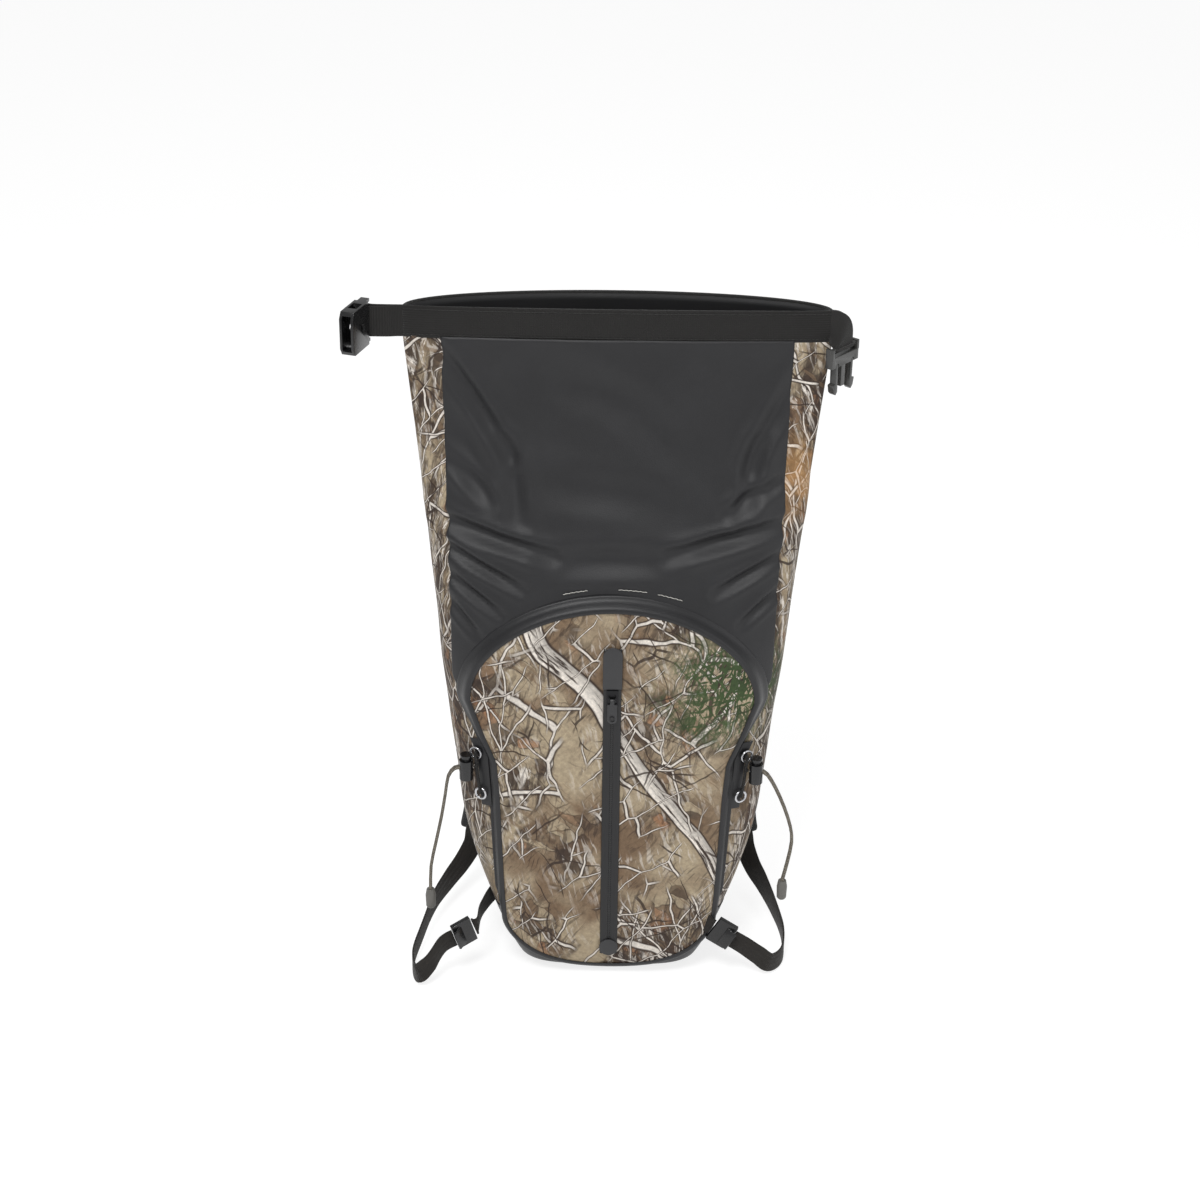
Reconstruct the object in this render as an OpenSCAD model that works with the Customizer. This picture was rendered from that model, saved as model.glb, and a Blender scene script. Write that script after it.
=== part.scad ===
/* [Bag] */
// Height of the opened bag, from the base to the top of the collar
bag_h = 662; // [620:1:700]
// Width of the mouth when it lies flat
mouth_w = 382; // [340:1:400]
// Width of the bag where the lower corners begin to draw in
hip_w = 288; // [262:1:300]
// Width of the flat base
base_w = 172; // [140:1:180]
// Depth of the packed bag, pocket included
body_d = 148; // [132:1:170]
// Height at which the lower corners begin to draw in
knee_h = 180; // [150:1:200]
// Height up to which the bag keeps its full depth
full_h = 340; // [320:1:380]
// Height of the charcoal boot around the base
boot_h = 62; // [50:1:72]
// Thickness of the coated fabric
fabric_t = 1.2; // [0.8:0.1:2]

/* [Mouth] */
// Height of the webbing collar
collar_h = 30; // [25:1:38]
// Thickness of the collar, both leaves and the stiffener between them
collar_t = 4.6; // [4.2:0.1:5.2]
// Thickness of one leaf of the collar webbing
leaf_t = 1.2; // [1:0.1:1.4]
// Bulge of the front lip from the line of the two ends
lip_front = 8; // [7:1:12]
// Bulge of the back lip from the line of the two ends
lip_back = 46; // [30:1:60]
// Height of the soft throat that folds when the collar is rolled
throat_h = 42; // [36:1:50]

/* [Pocket] */
// Depth of the zipped pocket on the front
pocket_d = 8; // [7:0.5:12]
// Width of the pocket at its widest
pocket_w = 268; // [230:1:272]
// Height of the widest point of the pocket
pocket_wide_h = 300; // [280:1:310]
// Height of the top of the pocket arch
pocket_top_h = 398; // [370:1:410]
// Width of the rolled binding around the pocket
binding_w = 5; // [4:0.5:6]

/* [Zip] */
// Height of the zip's upper end
zip_top_h = 360; // [345:1:366]
// Height of the zip's lower end
zip_low_h = 26; // [22:1:32]
// Width of the zip at its face
zip_w = 16; // [14:1:18]
// Length of the pull tab
pull_l = 24; // [20:1:28]

/* [Buckles] */
// Width of the two halves of the closure buckle
buckle_w = 40; // [38:1:42]
// Length of the socket half
socket_l = 40; // [36:1:44]
// Thickness of the socket half
socket_t = 13; // [12:0.5:15]
// Width of the webbing ends that hold the buckles
tab_w = 26; // [24:1:28]
// Radius of the bar that the webbing wraps
bar_r = 2; // [1.8:0.1:2.4]

/* [Carrying] */
// Width of the padded shoulder straps
pad_w = 68; // [60:1:74]
// Thickness of the padded shoulder straps
pad_t = 12; // [10:1:14]
// Width of the padded shoulder straps at their lower ends
pad_end_w = 40; // [34:1:46]
// Width of the lower strap webbing
web_w = 20; // [18:1:20]
// Thickness of the strap webbing
web_t = 1.8; // [1.5:0.1:2]
// Thickness of the back pads
back_pad_t = 9; // [7:1:12]

/* [Bungee] */
// Diameter of the bungee cord
cord_d = 3; // [2.8:0.1:3.2]
// Radius of the barrel of the cord lock
barrel_r = 6.5; // [6.2:0.1:7]
// Height of the barrel of the cord lock
barrel_h = 20; // [19:0.5:22]
// Inner radius of the lacing rings
ring_r = 4.2; // [4:0.1:5]

/* [Hidden] */
$fn = 48;

gap = 0.3;              // clearance between soft pieces
run = 0.1;              // running clearance of a turning or sliding piece
wall_power = 0.5;       // roundness of the body's section: 0.5 is boxy, 1 an ellipse
mouth_power = 1;        // roundness of the mouth's section
corner_power = 1.8;     // how sharply the lower corners draw in
foot_round = 26;        // height of the rounding at the foot of the walls
foot_in = 10;           // how far the foot draws in
seam_rows = 18;         // levels in each wall
seam_steps = 14;        // steps across the front and back walls
side_steps = 6;         // steps across a gusset
throat_z = bag_h - collar_h - throat_h;
collar_z = bag_h - collar_h;
// share of the half width at which the front seam runs, by share of the height
front_seam = [[0, 0.9], [0.28, 0.87], [0.46, 0.93], [0.62, 0.88], [1, 0.8]];
back_seam = 0.84;

function lerp(a, b, t) = a + (b - a) * t;
function ease(t) = (1 - cos(180 * min(1, max(0, t)))) / 2;
function rise(z) = ease((z - full_h) / (collar_z - full_h));
function taper(z) = lerp(hip_w, mouth_w, (z - knee_h) / (collar_z - knee_h)) / 2;
function draw_in(z) = z < knee_h ? (taper(0) - base_w / 2) * pow((knee_h - z) / knee_h, corner_power) : 0;
function half_w(z) = z > collar_z ? mouth_w / 2 : taper(z) - draw_in(z);
function foot(z) = z < foot_round ? foot_in * pow(1 - z / foot_round, 2) : 0;
function front_d(z) = lerp(body_d / 2 - pocket_d, lip_front, rise(z)) - foot(z);
function back_d(z) = lerp(body_d / 2, lip_back, rise(z)) - foot(z);
function power(z) = lerp(wall_power, mouth_power, rise(z));
function signed(v, p) = sign(v) * pow(abs(v), p);
// a point of the wall's outer face at the angle t and the level z, drawn in by inset
function wall_pt(t, z, inset) = [
  (half_w(z) - inset) * signed(cos(t), power(z)),
  ((sin(t) < 0 ? front_d(z) : back_d(z)) - inset) * signed(sin(t), power(z)), z
];
function span(a, b, n) = [for (i = [0:n]) lerp(a, b, i / n)];
function strip(z, ta, tb, n, out, in) = concat(
  [for (t = span(ta, tb, n)) wall_pt(t, z, out)], [for (t = span(tb, ta, n)) wall_pt(t, z, in)]);
function seam_angle(z, share) = acos(pow(share, 1 / power(z)));
function front_angle(z) = seam_angle(z, lookup(z / bag_h, front_seam));
function back_angle(z) = seam_angle(z, back_seam);
// height of the skin's face at x and z, lifted off the wall
function skin_y(x, z, depth, lift) = (depth + lift)
  * pow(max(0.001, 1 - pow(min(1, abs(x) / (half_w(z) + lift)), 2 / power(z))), power(z) / 2);
function front_pt(x, z, lift) = [x, -skin_y(x, z, front_d(z), lift), z];
function back_pt(x, z, lift) = [x, skin_y(x, z, back_d(z), lift), z];
function front_skin(z, x0, x1, n, out, in) = concat(
  [for (x = span(x0, x1, n)) front_pt(x, z, out)], [for (x = span(x1, x0, n)) front_pt(x, z, in)]);
function back_skin(z, x0, x1, n, out, in) = concat(
  [for (x = span(x1, x0, n)) back_pt(x, z, out)], [for (x = span(x0, x1, n)) back_pt(x, z, in)]);

function unit(v) = v / norm(v);
// a smooth run through the points p, with n steps between neighbours
function curve(p, n) = concat(
  [for (i = [0:len(p) - 2], k = [0:n - 1]) bend(
    p[max(0, i - 1)], p[i], p[i + 1], p[min(len(p) - 1, i + 2)], k / n)], [p[len(p) - 1]]);
function bend(a, b, c, d, t) = (2 * b + (c - a) * t + (2 * a - 5 * b + 4 * c - d) * t * t
  + (3 * b - a - 3 * c + d) * t * t * t) / 2;
function heading(p, i) = unit(p[min(len(p) - 1, i + 1)] - p[max(0, i - 1)]);
function across(side, t) = unit(side - (side * t) * t);
// rings of a flat band along the points p, its width turning from the side from to the side to
function band(p, w, t, from, to) = [for (i = [0:len(p) - 1]) let (
    h = heading(p, i), b = across(lerp(from, to, min(1, 2 * i / len(p))), h), n = cross(h, b))
  [p[i] - w / 2 * b - t / 2 * n, p[i] + w / 2 * b - t / 2 * n,
   p[i] + w / 2 * b + t / 2 * n, p[i] - w / 2 * b + t / 2 * n]];
// rings of a padded band: rounded long edges, and tapering from w to end_w over its last third
function padded_band(p, w, end_w, t, side) = [for (i = [0:len(p) - 1]) let (
    h = heading(p, i), b = across(side, h), n = cross(h, b), e = t / 2,
    w = lerp(w, end_w, ease(3 * i / (len(p) - 1) - 2)))
  [for (q = [[-w / 2 + e, -1], [w / 2 - e, -1], [w / 2 - e * 0.3, -0.7], [w / 2, 0],
             [w / 2 - e * 0.3, 0.7], [w / 2 - e, 1], [-w / 2 + e, 1], [-w / 2 + e * 0.3, 0.7],
             [-w / 2, 0], [-w / 2 + e * 0.3, -0.7]]) p[i] + q[0] * b + q[1] * e * n]];
function tube(p, r, n) = [for (i = [0:len(p) - 1]) let (
    h = heading(p, i), b = across([0, 1, 0], h), c = cross(h, b))
  [for (k = [0:n - 1]) p[i] + r * (cos(360 * k / n) * b + sin(360 * k / n) * c)]];

// a solid through rings of points; each ring runs counter-clockwise seen against the sweep
module loft(rings, closed = false) {
  m = len(rings);
  n = len(rings[0]);
  last = closed ? m - 1 : m - 2;
  sides = [for (i = [0:last], k = [0:n - 1]) let (
      a = i * n + k, b = i * n + (k + 1) % n, c = (i + 1) % m * n + k, d = (i + 1) % m * n + (k + 1) % n)
    each [[a, c, d], [a, d, b]]];
  top = (m - 1) * n;
  ends = closed ? [] : [for (k = [0:n / 2 - 2]) each [
    [k, k + 1, n - 2 - k, n - 1 - k],
    [top + n - 1 - k, top + n - 2 - k, top + k + 1, top + k]]];
  polyhedron([for (ring = rings) each ring], concat(sides, ends), convexity = 6);
}

function whole_ring(z, inset) = [for (k = [0:47]) wall_pt(360 * (k + 0.5) / 48, z, inset)];
foot_levels = [0, 2, 5, 10, 17, foot_round, 44, boot_h];
wall_levels = span(boot_h, throat_z, seam_rows);

module base_boot() {
  color([0.2, 0.2, 0.21])
  difference() {
    loft([for (z = foot_levels) whole_ring(z, 0)]);
    loft(concat([for (z = foot_levels) [for (p = whole_ring(z, fabric_t)) p + [0, 0, fabric_t]]]));
  }
}

module wall(levels, from, to, steps) {
  loft([for (i = [0:len(levels) - 1]) strip(levels[i], from[i], to[i], steps, 0, fabric_t)]);
}

module front_wall() {
  color([0.22, 0.22, 0.24])
  wall(wall_levels, [for (z = wall_levels) 180 + front_angle(z)],
       [for (z = wall_levels) 360 - front_angle(z)], seam_steps);
}

module back_wall() {
  color([0.22, 0.22, 0.24])
  wall(wall_levels, [for (z = wall_levels) back_angle(z)],
       [for (z = wall_levels) 180 - back_angle(z)], seam_steps);
}

module gusset(turn) {
  color([0.48, 0.42, 0.35])
  wall(wall_levels, [for (z = wall_levels) turn - (turn == 0 ? front_angle(z) : back_angle(z))],
       [for (z = wall_levels) turn + (turn == 0 ? back_angle(z) : front_angle(z))], side_steps);
}
module left_gusset() { gusset(180); }
module right_gusset() { gusset(0); }

module throat() {
  levels = span(throat_z, collar_z, 4);
  color([0.2, 0.2, 0.21])
  difference() {
    loft([for (z = levels) whole_ring(z, 0)]);
    loft([for (z = concat([throat_z - 1], levels, [collar_z + 1])) whole_ring(z, fabric_t)]);
  }
}

channel_out = leaf_t + gap;
channel_in = collar_t - leaf_t - gap;
module collar_half(turn) {
  levels = [collar_z, bag_h];
  channel = [collar_z - 1, bag_h - leaf_t];
  color([0.13, 0.13, 0.12])
  difference() {
    loft([for (z = levels) strip(z, turn, turn + 180, 24, 0, collar_t)]);
    loft([for (z = channel) strip(z, turn + 12, turn + 168, 24, leaf_t, collar_t - leaf_t)]);
  }
}
module collar_front() { collar_half(180); }
module collar_back() { collar_half(0); }

module stiffener(turn) {
  levels = [collar_z + 1, bag_h - leaf_t - gap];
  color([0.08, 0.08, 0.08])
  loft([for (z = levels) strip(z, turn + 14, turn + 166, 20, channel_out, channel_in)]);
}
module front_stiffener() { stiffener(180); }
module back_stiffener() { stiffener(0); }

// half width of the pocket by height
pocket_base_z = 9;
pocket_round_z = 60;
waist = [[0, 0.73], [90, 0.77], [200, 0.8], [236, 0.82], [262, 0.9], [pocket_wide_h, 1], [500, 1]];
function pocket_side(z) = pocket_w / 2 * lookup(z, waist);
low_turn = [for (a = [80:-8:0]) a];
function pocket_low(a) = [
  pocket_side(pocket_round_z) * cos(a), pocket_round_z - (pocket_round_z - pocket_base_z) * sin(a)];
function pocket_arch(a) = [
  pocket_w / 2 * cos(a), pocket_wide_h + (pocket_top_h - pocket_wide_h) * sin(a)];
pocket_edge = concat(
  [for (a = low_turn) pocket_low(a)],
  [for (z = span(pocket_round_z, pocket_wide_h, 10)) if (z > pocket_round_z && z < pocket_wide_h)
    [pocket_side(z), z]],
  [for (a = [0:8:80]) pocket_arch(a)]);

module pocket_panel() {
  color([0.5, 0.43, 0.36])
  difference() {
    loft([for (p = pocket_edge) front_skin(p[1], -p[0], p[0], 12, pocket_d, pocket_d - fabric_t)]);
    translate([-coil_slot, -body_d, zip_low_h + stop_h])
      cube([2 * coil_slot, body_d, zip_top_h - 2 * stop_h - zip_low_h]);
  }
}

// the pocket's whole outline, round the right side, over the arch and down the left side
pocket_loop = concat(pocket_edge, [for (i = [len(pocket_edge) - 1:-1:0]) [-pocket_edge[i][0], pocket_edge[i][1]]]);
function loop_out(i) = let (n = len(pocket_loop), d = unit(pocket_loop[(i + 1) % n] - pocket_loop[(i + n - 1) % n]))
  [d[1], -d[0]];

module pocket_binding() {
  seat = 1.3;
  color([0.19, 0.19, 0.2])
  loft([for (i = [0:len(pocket_loop) - 1]) let (
      p = pocket_loop[i] + gap * loop_out(i), q = p + binding_w * loop_out(i), m = (p + q) / 2)
    [front_pt(p[0], p[1], pocket_d), front_pt(p[0], p[1], seat), front_pt(m[0], m[1], seat),
     front_pt(q[0], q[1], seat), front_pt(q[0], q[1], seat + 1.6),
     front_pt(m[0], m[1], lerp(seat, pocket_d, 0.7))]], closed = true);
}

face_y = -body_d / 2;
coil_slot = 4;
groove = 1.2;
tape_t = 1.2;
stop_h = 6;
slider_h = 16;
slider_w = 11;
garage_h = 41;
slider_z = zip_top_h - garage_h - slider_h / 2 - 1;
plate_t = 1.6;
pull_y = face_y - tape_t - gap - plate_t - 2.4;
pull_z = slider_z - 1;
pull_t = 1.8;
pull_w = 9;

module zip_tape(side) {
  color([0.12, 0.12, 0.13])
  translate([side > 0 ? groove : -zip_w / 2, face_y - tape_t, zip_low_h])
    cube([zip_w / 2 - groove, tape_t, zip_top_h - zip_low_h]);
}
module zip_tape_left() { zip_tape(-1); }
module zip_tape_right() { zip_tape(1); }

module zip_coil() {
  coil_z = zip_low_h + stop_h + 1;
  color([0.08, 0.08, 0.08])
  for (side = [-1, 1])
    translate([side * (groove + 1) - 1, face_y, coil_z])
      cube([2, 2, zip_top_h - garage_h - 2 - coil_z]);
}

module zip_end(z, h, up) {
  r = zip_w / 2 + 1;
  translate([0, face_y - tape_t, z])
  rotate([90, 0, 0])
  linear_extrude(height = 1.6)
  union() {
    translate([-r, up ? 0 : r])
      square([2 * r, h - r]);
    translate([0, up ? h - r : r])
      circle(r = r);
  }
}

module zip_garage() {
  color([0.2, 0.2, 0.21]) zip_end(zip_top_h - garage_h, garage_h + 2, true);
}
module zip_bottom_stop() {
  color([0.2, 0.2, 0.21]) zip_end(zip_low_h - 1, zip_w / 2 + 3, false);
}

module zip_slider() {
  front_y = face_y - tape_t - gap;
  color([0.12, 0.12, 0.12])
  union() {
    translate([-slider_w / 2, front_y - plate_t, slider_z - slider_h / 2])
      cube([slider_w, plate_t, slider_h]);
    translate([-groove + gap, front_y - 0.1, slider_z - 3])
      cube([2 * (groove - gap), -front_y + face_y + 2.8, 6]);
    translate([-coil_slot + 0.5, face_y + 2 + gap, slider_z - 6])
      cube([2 * coil_slot - 1, 1.2, 12]);
    for (side = [-1, 1])
      translate([side * 3 - 0.6, pull_y - 1.6, pull_z - 1.6])
        cube([1.2, front_y - plate_t - pull_y + 1.7, 5]);
    translate([-3, pull_y, pull_z])
      rotate([0, 90, 0])
        cylinder(r = 0.8, h = 6);
  }
}

module zip_pull() {
  color([0.1, 0.1, 0.1])
  difference() {
    union() {
      translate([-2, pull_y, pull_z])
        rotate([0, 90, 0])
          cylinder(r = 1.8, h = 4);
      translate([-2, pull_y - pull_t / 2, pull_z - 5])
        cube([4, pull_t, 4.4]);
      translate([-pull_w / 2, pull_y - pull_t / 2, pull_z - pull_l + pull_w / 2])
        cube([pull_w, pull_t, pull_l - pull_w / 2 - 4]);
      translate([0, pull_y + pull_t / 2, pull_z - pull_l + pull_w / 2])
        rotate([90, 0, 0])
          cylinder(r = pull_w / 2, h = pull_t);
    }
    translate([-3, pull_y, pull_z])
      rotate([0, 90, 0])
        cylinder(r = 0.8 + run, h = 6);
    translate([0, pull_y, pull_z - pull_l + pull_w / 2])
      rotate([90, 0, 0])
        cylinder(r = 2.2, h = pull_t);
  }
}

mid_z = collar_z + collar_h / 2;
loop_r = bar_r + run + 1.6;
socket_out = 33;        // from the collar's left end to the socket's bar
socket_x = -mouth_w / 2 - socket_out;
socket_turn = 72;
plug_out = 9;           // from the collar's right end to the plug's bar
plug_x = mouth_w / 2 + plug_out;
plug_z = collar_z - loop_r - 1;
plug_turn = 50;
lug = 3;

// an eye of webbing around the bar, on the Z axis
module eye_hole() {
  cylinder(r = bar_r + run, h = buckle_w, center = true);
}

module left_buckle_tab() {
  color([0.1, 0.1, 0.1])
  difference() {
    union() {
      translate([socket_x + bar_r + run + 0.6, -1.6, mid_z - tab_w / 2])
        cube([-mouth_w / 2 - 0.2 - socket_x - bar_r - run - 0.6, 3.2, tab_w]);
      translate([socket_x, 0, mid_z])
        cylinder(r = loop_r, h = tab_w, center = true);
    }
    translate([socket_x, 0, mid_z]) eye_hole();
  }
}

module right_buckle_tab() {
  color([0.1, 0.1, 0.1])
  difference() {
    union() {
      translate([mouth_w / 2 + 0.2, -1.6, collar_z + 3])
        cube([plug_x - mouth_w / 2 + 1, 3.2, tab_w]);
      translate([plug_x, 0, 0])
        rotate([0, 0, plug_turn])
          translate([-tab_w / 2, -1.6, plug_z + bar_r + run + 0.6])
            cube([tab_w, 3.2, collar_z + 3 + tab_w - plug_z - bar_r - run - 0.6]);
      translate([plug_x, 0, plug_z])
        rotate([0, 90, plug_turn])
          cylinder(r = loop_r, h = tab_w, center = true);
    }
    translate([plug_x, 0, plug_z])
      rotate([0, 90, plug_turn])
        eye_hole();
  }
}

// the bar and its two lugs, which both halves of the buckle share
module buckle_bar(reach) {
  cylinder(r = bar_r, h = buckle_w - 1, center = true);
  for (side = [-1, 1])
    translate([-bar_r - 1, -4, side * (buckle_w - lug) / 2 - lug / 2])
      cube([reach + bar_r + 1.5, 8, lug]);
}

module buckle_socket() {
  root = loop_r + 1.6;
  mouth_z = buckle_w - 7;
  color([0.06, 0.06, 0.06])
  translate([socket_x, 0, mid_z])
  rotate([0, 0, 180 + socket_turn])
  union() {
    buckle_bar(root);
    difference() {
      translate([root, socket_t / 2, -buckle_w / 2])
        rotate([90, 0, 0])
          linear_extrude(height = socket_t)
            polygon([[0, 0], [socket_l - 9, 0], [socket_l - root, 6], [socket_l - root, buckle_w - 6],
                     [socket_l - 9, buckle_w], [0, buckle_w]]);
      translate([root + 5, -4.2, -mouth_z / 2])
        cube([socket_l, 8.4, mouth_z]);
      translate([root + 8, -4.2, -buckle_w])
        cube([13, 8.4, 2 * buckle_w]);
      translate([root + 14, 0, 0])
        rotate([90, 0, 0])
          cylinder(r = 3.5, h = 2 * socket_t, center = true);
    }
  }
}

plug_root = loop_r + 1.6;
plug_l = 42;
prong_x = plug_root + 9;
prong_z = 11.5;
knuckle_r = 2.2;
module plug_place() {
  translate([plug_x, 0, plug_z])
    rotate([0, 90, plug_turn])
      children();
}

module buckle_plug() {
  color([0.3, 0.3, 0.3])
  plug_place()
  union() {
    buckle_bar(plug_root);
    difference() {
      translate([plug_root, -3.6, -buckle_w / 2])
        cube([10, 7.2, buckle_w]);
      for (side = [-1, 1])
        translate([prong_x, 0, side * prong_z])
          rotate([90, 0, 0])
            cylinder(r = knuckle_r + gap, h = 10, center = true);
      for (side = [-1, 1])
        translate([prong_x, -5, side * prong_z - 1.8 - gap])
          cube([10, 10, 3.6 + 2 * gap]);
    }
    translate([plug_root + 9, -2, -3])
      cube([plug_l - plug_root - 15, 4, 6]);
  }
}

module prong(side) {
  color([0.3, 0.3, 0.3])
  plug_place()
  union() {
    translate([prong_x, 0, side * prong_z])
      rotate([90, 0, 0])
        cylinder(r = knuckle_r, h = 6.4, center = true);
    translate([0, 3.2, 0])
      rotate([90, 0, 0])
        linear_extrude(height = 6.4)
          polygon([[prong_x, side * (prong_z - 1.5)], [plug_l - 3, side * (prong_z - 2.5)],
                   [plug_l, side * (prong_z)], [plug_l - 3, side * (prong_z + 3)],
                   [plug_l - 10, side * (prong_z + 4.5)], [plug_l - 11, side * (prong_z + 1)],
                   [prong_x, side * (prong_z + 1.5)]]);
  }
}
module plug_prong_front() { prong(-1); }
module plug_prong_rear() { prong(1); }

// lacing rings and the bungee at each side of the pocket
ring_wire = 1.2;
ring_x = 127;
ring_lift = 3.2;
upper_ring_z = 240;
lower_ring_z = 196;
function ring_at(side, z) = front_pt(side * (ring_x - (upper_ring_z - z) * 0.1), z, ring_lift);

module ring_patch(side) {
  edge_x = [for (z = span(lower_ring_z - 14, upper_ring_z + 14, 8)) [pocket_side(z) + binding_w + 2 * gap, z]];
  color([0.17, 0.17, 0.18])
  loft([for (p = edge_x) front_skin(p[1], side > 0 ? p[0] : -p[0] - 10, side > 0 ? p[0] + 10 : -p[0], 4,
                                    gap + 0.7, gap)]);
}
module left_ring_patch() { ring_patch(-1); }
module right_ring_patch() { ring_patch(1); }

module rings(side) {
  color([0.75, 0.75, 0.76])
  for (z = [lower_ring_z, upper_ring_z])
    translate(ring_at(side, z))
      rotate([90, 0, side * 28])
        rotate_extrude()
          translate([ring_r + ring_wire, 0])
            circle(r = ring_wire, $fn = 24);
}
module left_rings() { rings(-1); }
module right_rings() { rings(1); }

barrel_x = 136;
barrel_y = -62;
barrel_z = 214;
feed_z = barrel_z + 12;
feed_r = cord_d + 0.4;
plunger_r = 4.4;
plunger_top = barrel_z + barrel_h + 6;
spring_z = barrel_z + 1.4;

module lock_barrel(side) {
  color([0.07, 0.07, 0.07])
  difference() {
    translate([side * barrel_x, barrel_y, barrel_z])
      cylinder(r = barrel_r, h = barrel_h);
    translate([side * barrel_x, barrel_y, barrel_z + 1.2])
      cylinder(r = plunger_r + run, h = barrel_h);
    translate([side * barrel_x, barrel_y, feed_z])
      rotate([0, 90, 0])
        cylinder(r = feed_r, h = 3 * barrel_r, center = true);
  }
}
module left_lock_barrel() { lock_barrel(-1); }
module right_lock_barrel() { lock_barrel(1); }

module lock_plunger(side) {
  low_z = feed_z - feed_r - 1.6;
  color([0.07, 0.07, 0.07])
  difference() {
    union() {
      translate([side * barrel_x, barrel_y, low_z])
        cylinder(r = plunger_r, h = plunger_top - low_z);
      translate([side * barrel_x, barrel_y, plunger_top - 2])
        cylinder(r = plunger_r + 1.2, h = 2);
    }
    translate([side * barrel_x, barrel_y, feed_z])
      rotate([0, 90, 0])
        cylinder(r = feed_r, h = 3 * barrel_r, center = true);
  }
}
module left_lock_plunger() { lock_plunger(-1); }
module right_lock_plunger() { lock_plunger(1); }

module lock_spring(side) {
  coil_r = 3.6;
  turns = 3;
  rise_h = feed_z - feed_r - 1.6 - gap - spring_z;
  wire = [for (i = [0:turns * 8]) let (a = 45 * i) [
    side * barrel_x + coil_r * cos(a), barrel_y + coil_r * sin(a), spring_z + rise_h * i / (turns * 8)]];
  color([0.6, 0.6, 0.6])
  loft([for (i = [0:len(wire) - 1]) let (h = heading(wire, i), b = across([0, 0, 1], h), c = cross(h, b))
    [for (k = [0:5]) wire[i] + 0.25 * (cos(60 * k) * b + sin(60 * k) * c)]]);
}
module left_lock_spring() { lock_spring(-1); }
module right_lock_spring() { lock_spring(1); }

// the held bungee: out of the barrel, through the upper ring, down and through the lower ring
function lace_points(side) = let (u = ring_at(side, upper_ring_z)) [
  [side * (barrel_x - barrel_r - 1.2), barrel_y, feed_z],
  [side * (barrel_x - barrel_r - 3.5), barrel_y - 0.5, feed_z + 3],
  u + [0, -7, -2], u + [0, -3.2, 0.5], u + [0, -0.2, 1.2] + [-side * 0.6, 0, 0]];
function lace_fall(side) = let (u = ring_at(side, upper_ring_z), l = ring_at(side, lower_ring_z)) [
  u + [-side * 0.4, -2.6, -9], lerp(u, l, 0.5) + [side * 0.6, -3.4, 0], l + [side * 1.2, -3, 8],
  l + [side * 0.4, -2.2, 1]];

module lace(side) {
  color([0.1, 0.1, 0.1])
  union() {
    loft(tube(curve(lace_points(side), 2), cord_d / 2, 8));
    loft(tube(curve(concat([lace_points(side)[2]], lace_fall(side)), 1), cord_d / 2, 8));
  }
}
module left_lace() { lace(-1); }
module right_lace() { lace(1); }

// the free tails of the bungee, as places along X and Z
tail_out = barrel_x + barrel_r - 4 * gap;
left_tail = [[-tail_out, feed_z], [-147, 225], [-153, 216], [-156, 197], [-160, 172], [-166, 142], [-171, 116], [-172, 90]];
right_tail = [[tail_out, feed_z], [147, 222], [155, 208], [164, 187], [171, 165], [173, 148], [170, 126], [166, 105]];
tail_gap = cord_d / 2 + 0.15;
module tail(route, shift) {
  ends_y = barrel_y + shift;
  color([0.43, 0.41, 0.38])
  loft(tube(curve([for (p = route) [p[0], ends_y, p[1]]], 2), cord_d / 2, 8));
}
module left_tail_a() { tail(left_tail, -tail_gap); }
module left_tail_b() { tail(left_tail, tail_gap); }
module right_tail_a() { tail(right_tail, -tail_gap); }
module right_tail_b() { tail(right_tail, tail_gap); }

cord_end_h = 21;
module cord_end(route) {
  low = route[len(route) - 1];
  color([0.37, 0.36, 0.35])
  translate([low[0], barrel_y, low[1] - cord_end_h - gap])
  rotate_extrude()
    polygon([[0, 0], [3.2, 0], [4.6, 2], [5, cord_end_h - 7], [3.8, cord_end_h], [0, cord_end_h]]);
}
module left_cord_end() { cord_end(left_tail); }
module right_cord_end() { cord_end(right_tail); }

// carrying straps
yoke_low_z = 432;
yoke_high_z = 498;
yoke_w = 160;
yoke_t = 2;
strap_lift = yoke_t + 2 * gap;
function strap_route(side) = [
  back_pt(side * 42, yoke_low_z + 26, strap_lift + pad_t / 2), [side * 46, 90, 430],
  [side * 56, 116, 386], [side * 70, 130, 320], [side * 86, 132, 250], [side * 104, 122, 186],
  [side * 120, 108, 126], [side * 130, 94, 84], [side * 137, 84, 58]];

module shoulder_strap(side) {
  color([0.12, 0.12, 0.12])
  loft(padded_band(curve(strap_route(side), 3), pad_w, pad_end_w, pad_t, [1, 0, 0]));
}
module left_shoulder_strap() { shoulder_strap(-1); }
module right_shoulder_strap() { shoulder_strap(1); }

left_web = [[-139, 82, 50], [-149, 66, 38], [-162, 42, 31], [-174, 10, 27], [-184, -32, 18], [-190, -66, 12],
            [-185, -92, 12], [-173, -94, 24], [-160, -83, 39], [-149, -77.6, 43.8]];
right_web = [[139, 82, 50], [146, 66, 38], [155, 40, 34], [164, 6, 30], [172, -26, 20], [170, -52, 12],
             [158, -68, 13], [145, -71, 24], [131, -70.7, 34.6], [119.4, -69.4, 41.5]];
module strap_web(route, side) {
  color([0.1, 0.09, 0.08])
  loft(band(curve(route, 3), web_w, web_t, [1, 0, 0], [0, 0, side]));
}
module left_strap_web() { strap_web(left_web, -1); }
module right_strap_web() { strap_web(right_web, 1); }

ladder_l = 20;
ladder_w = web_w + 8;
ladder_t = 5;
left_ladder = [-140, -73, 47];
right_ladder = [110, -68, 47];
left_hang = [18, 27];
right_hang = [30, 8];
// the way along a ladder lock, from the bag outwards
function ladder_way(side, hang) = [
  side * cos(hang[0]) * cos(hang[1]), -cos(hang[0]) * sin(hang[1]), -sin(hang[0])];

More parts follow.
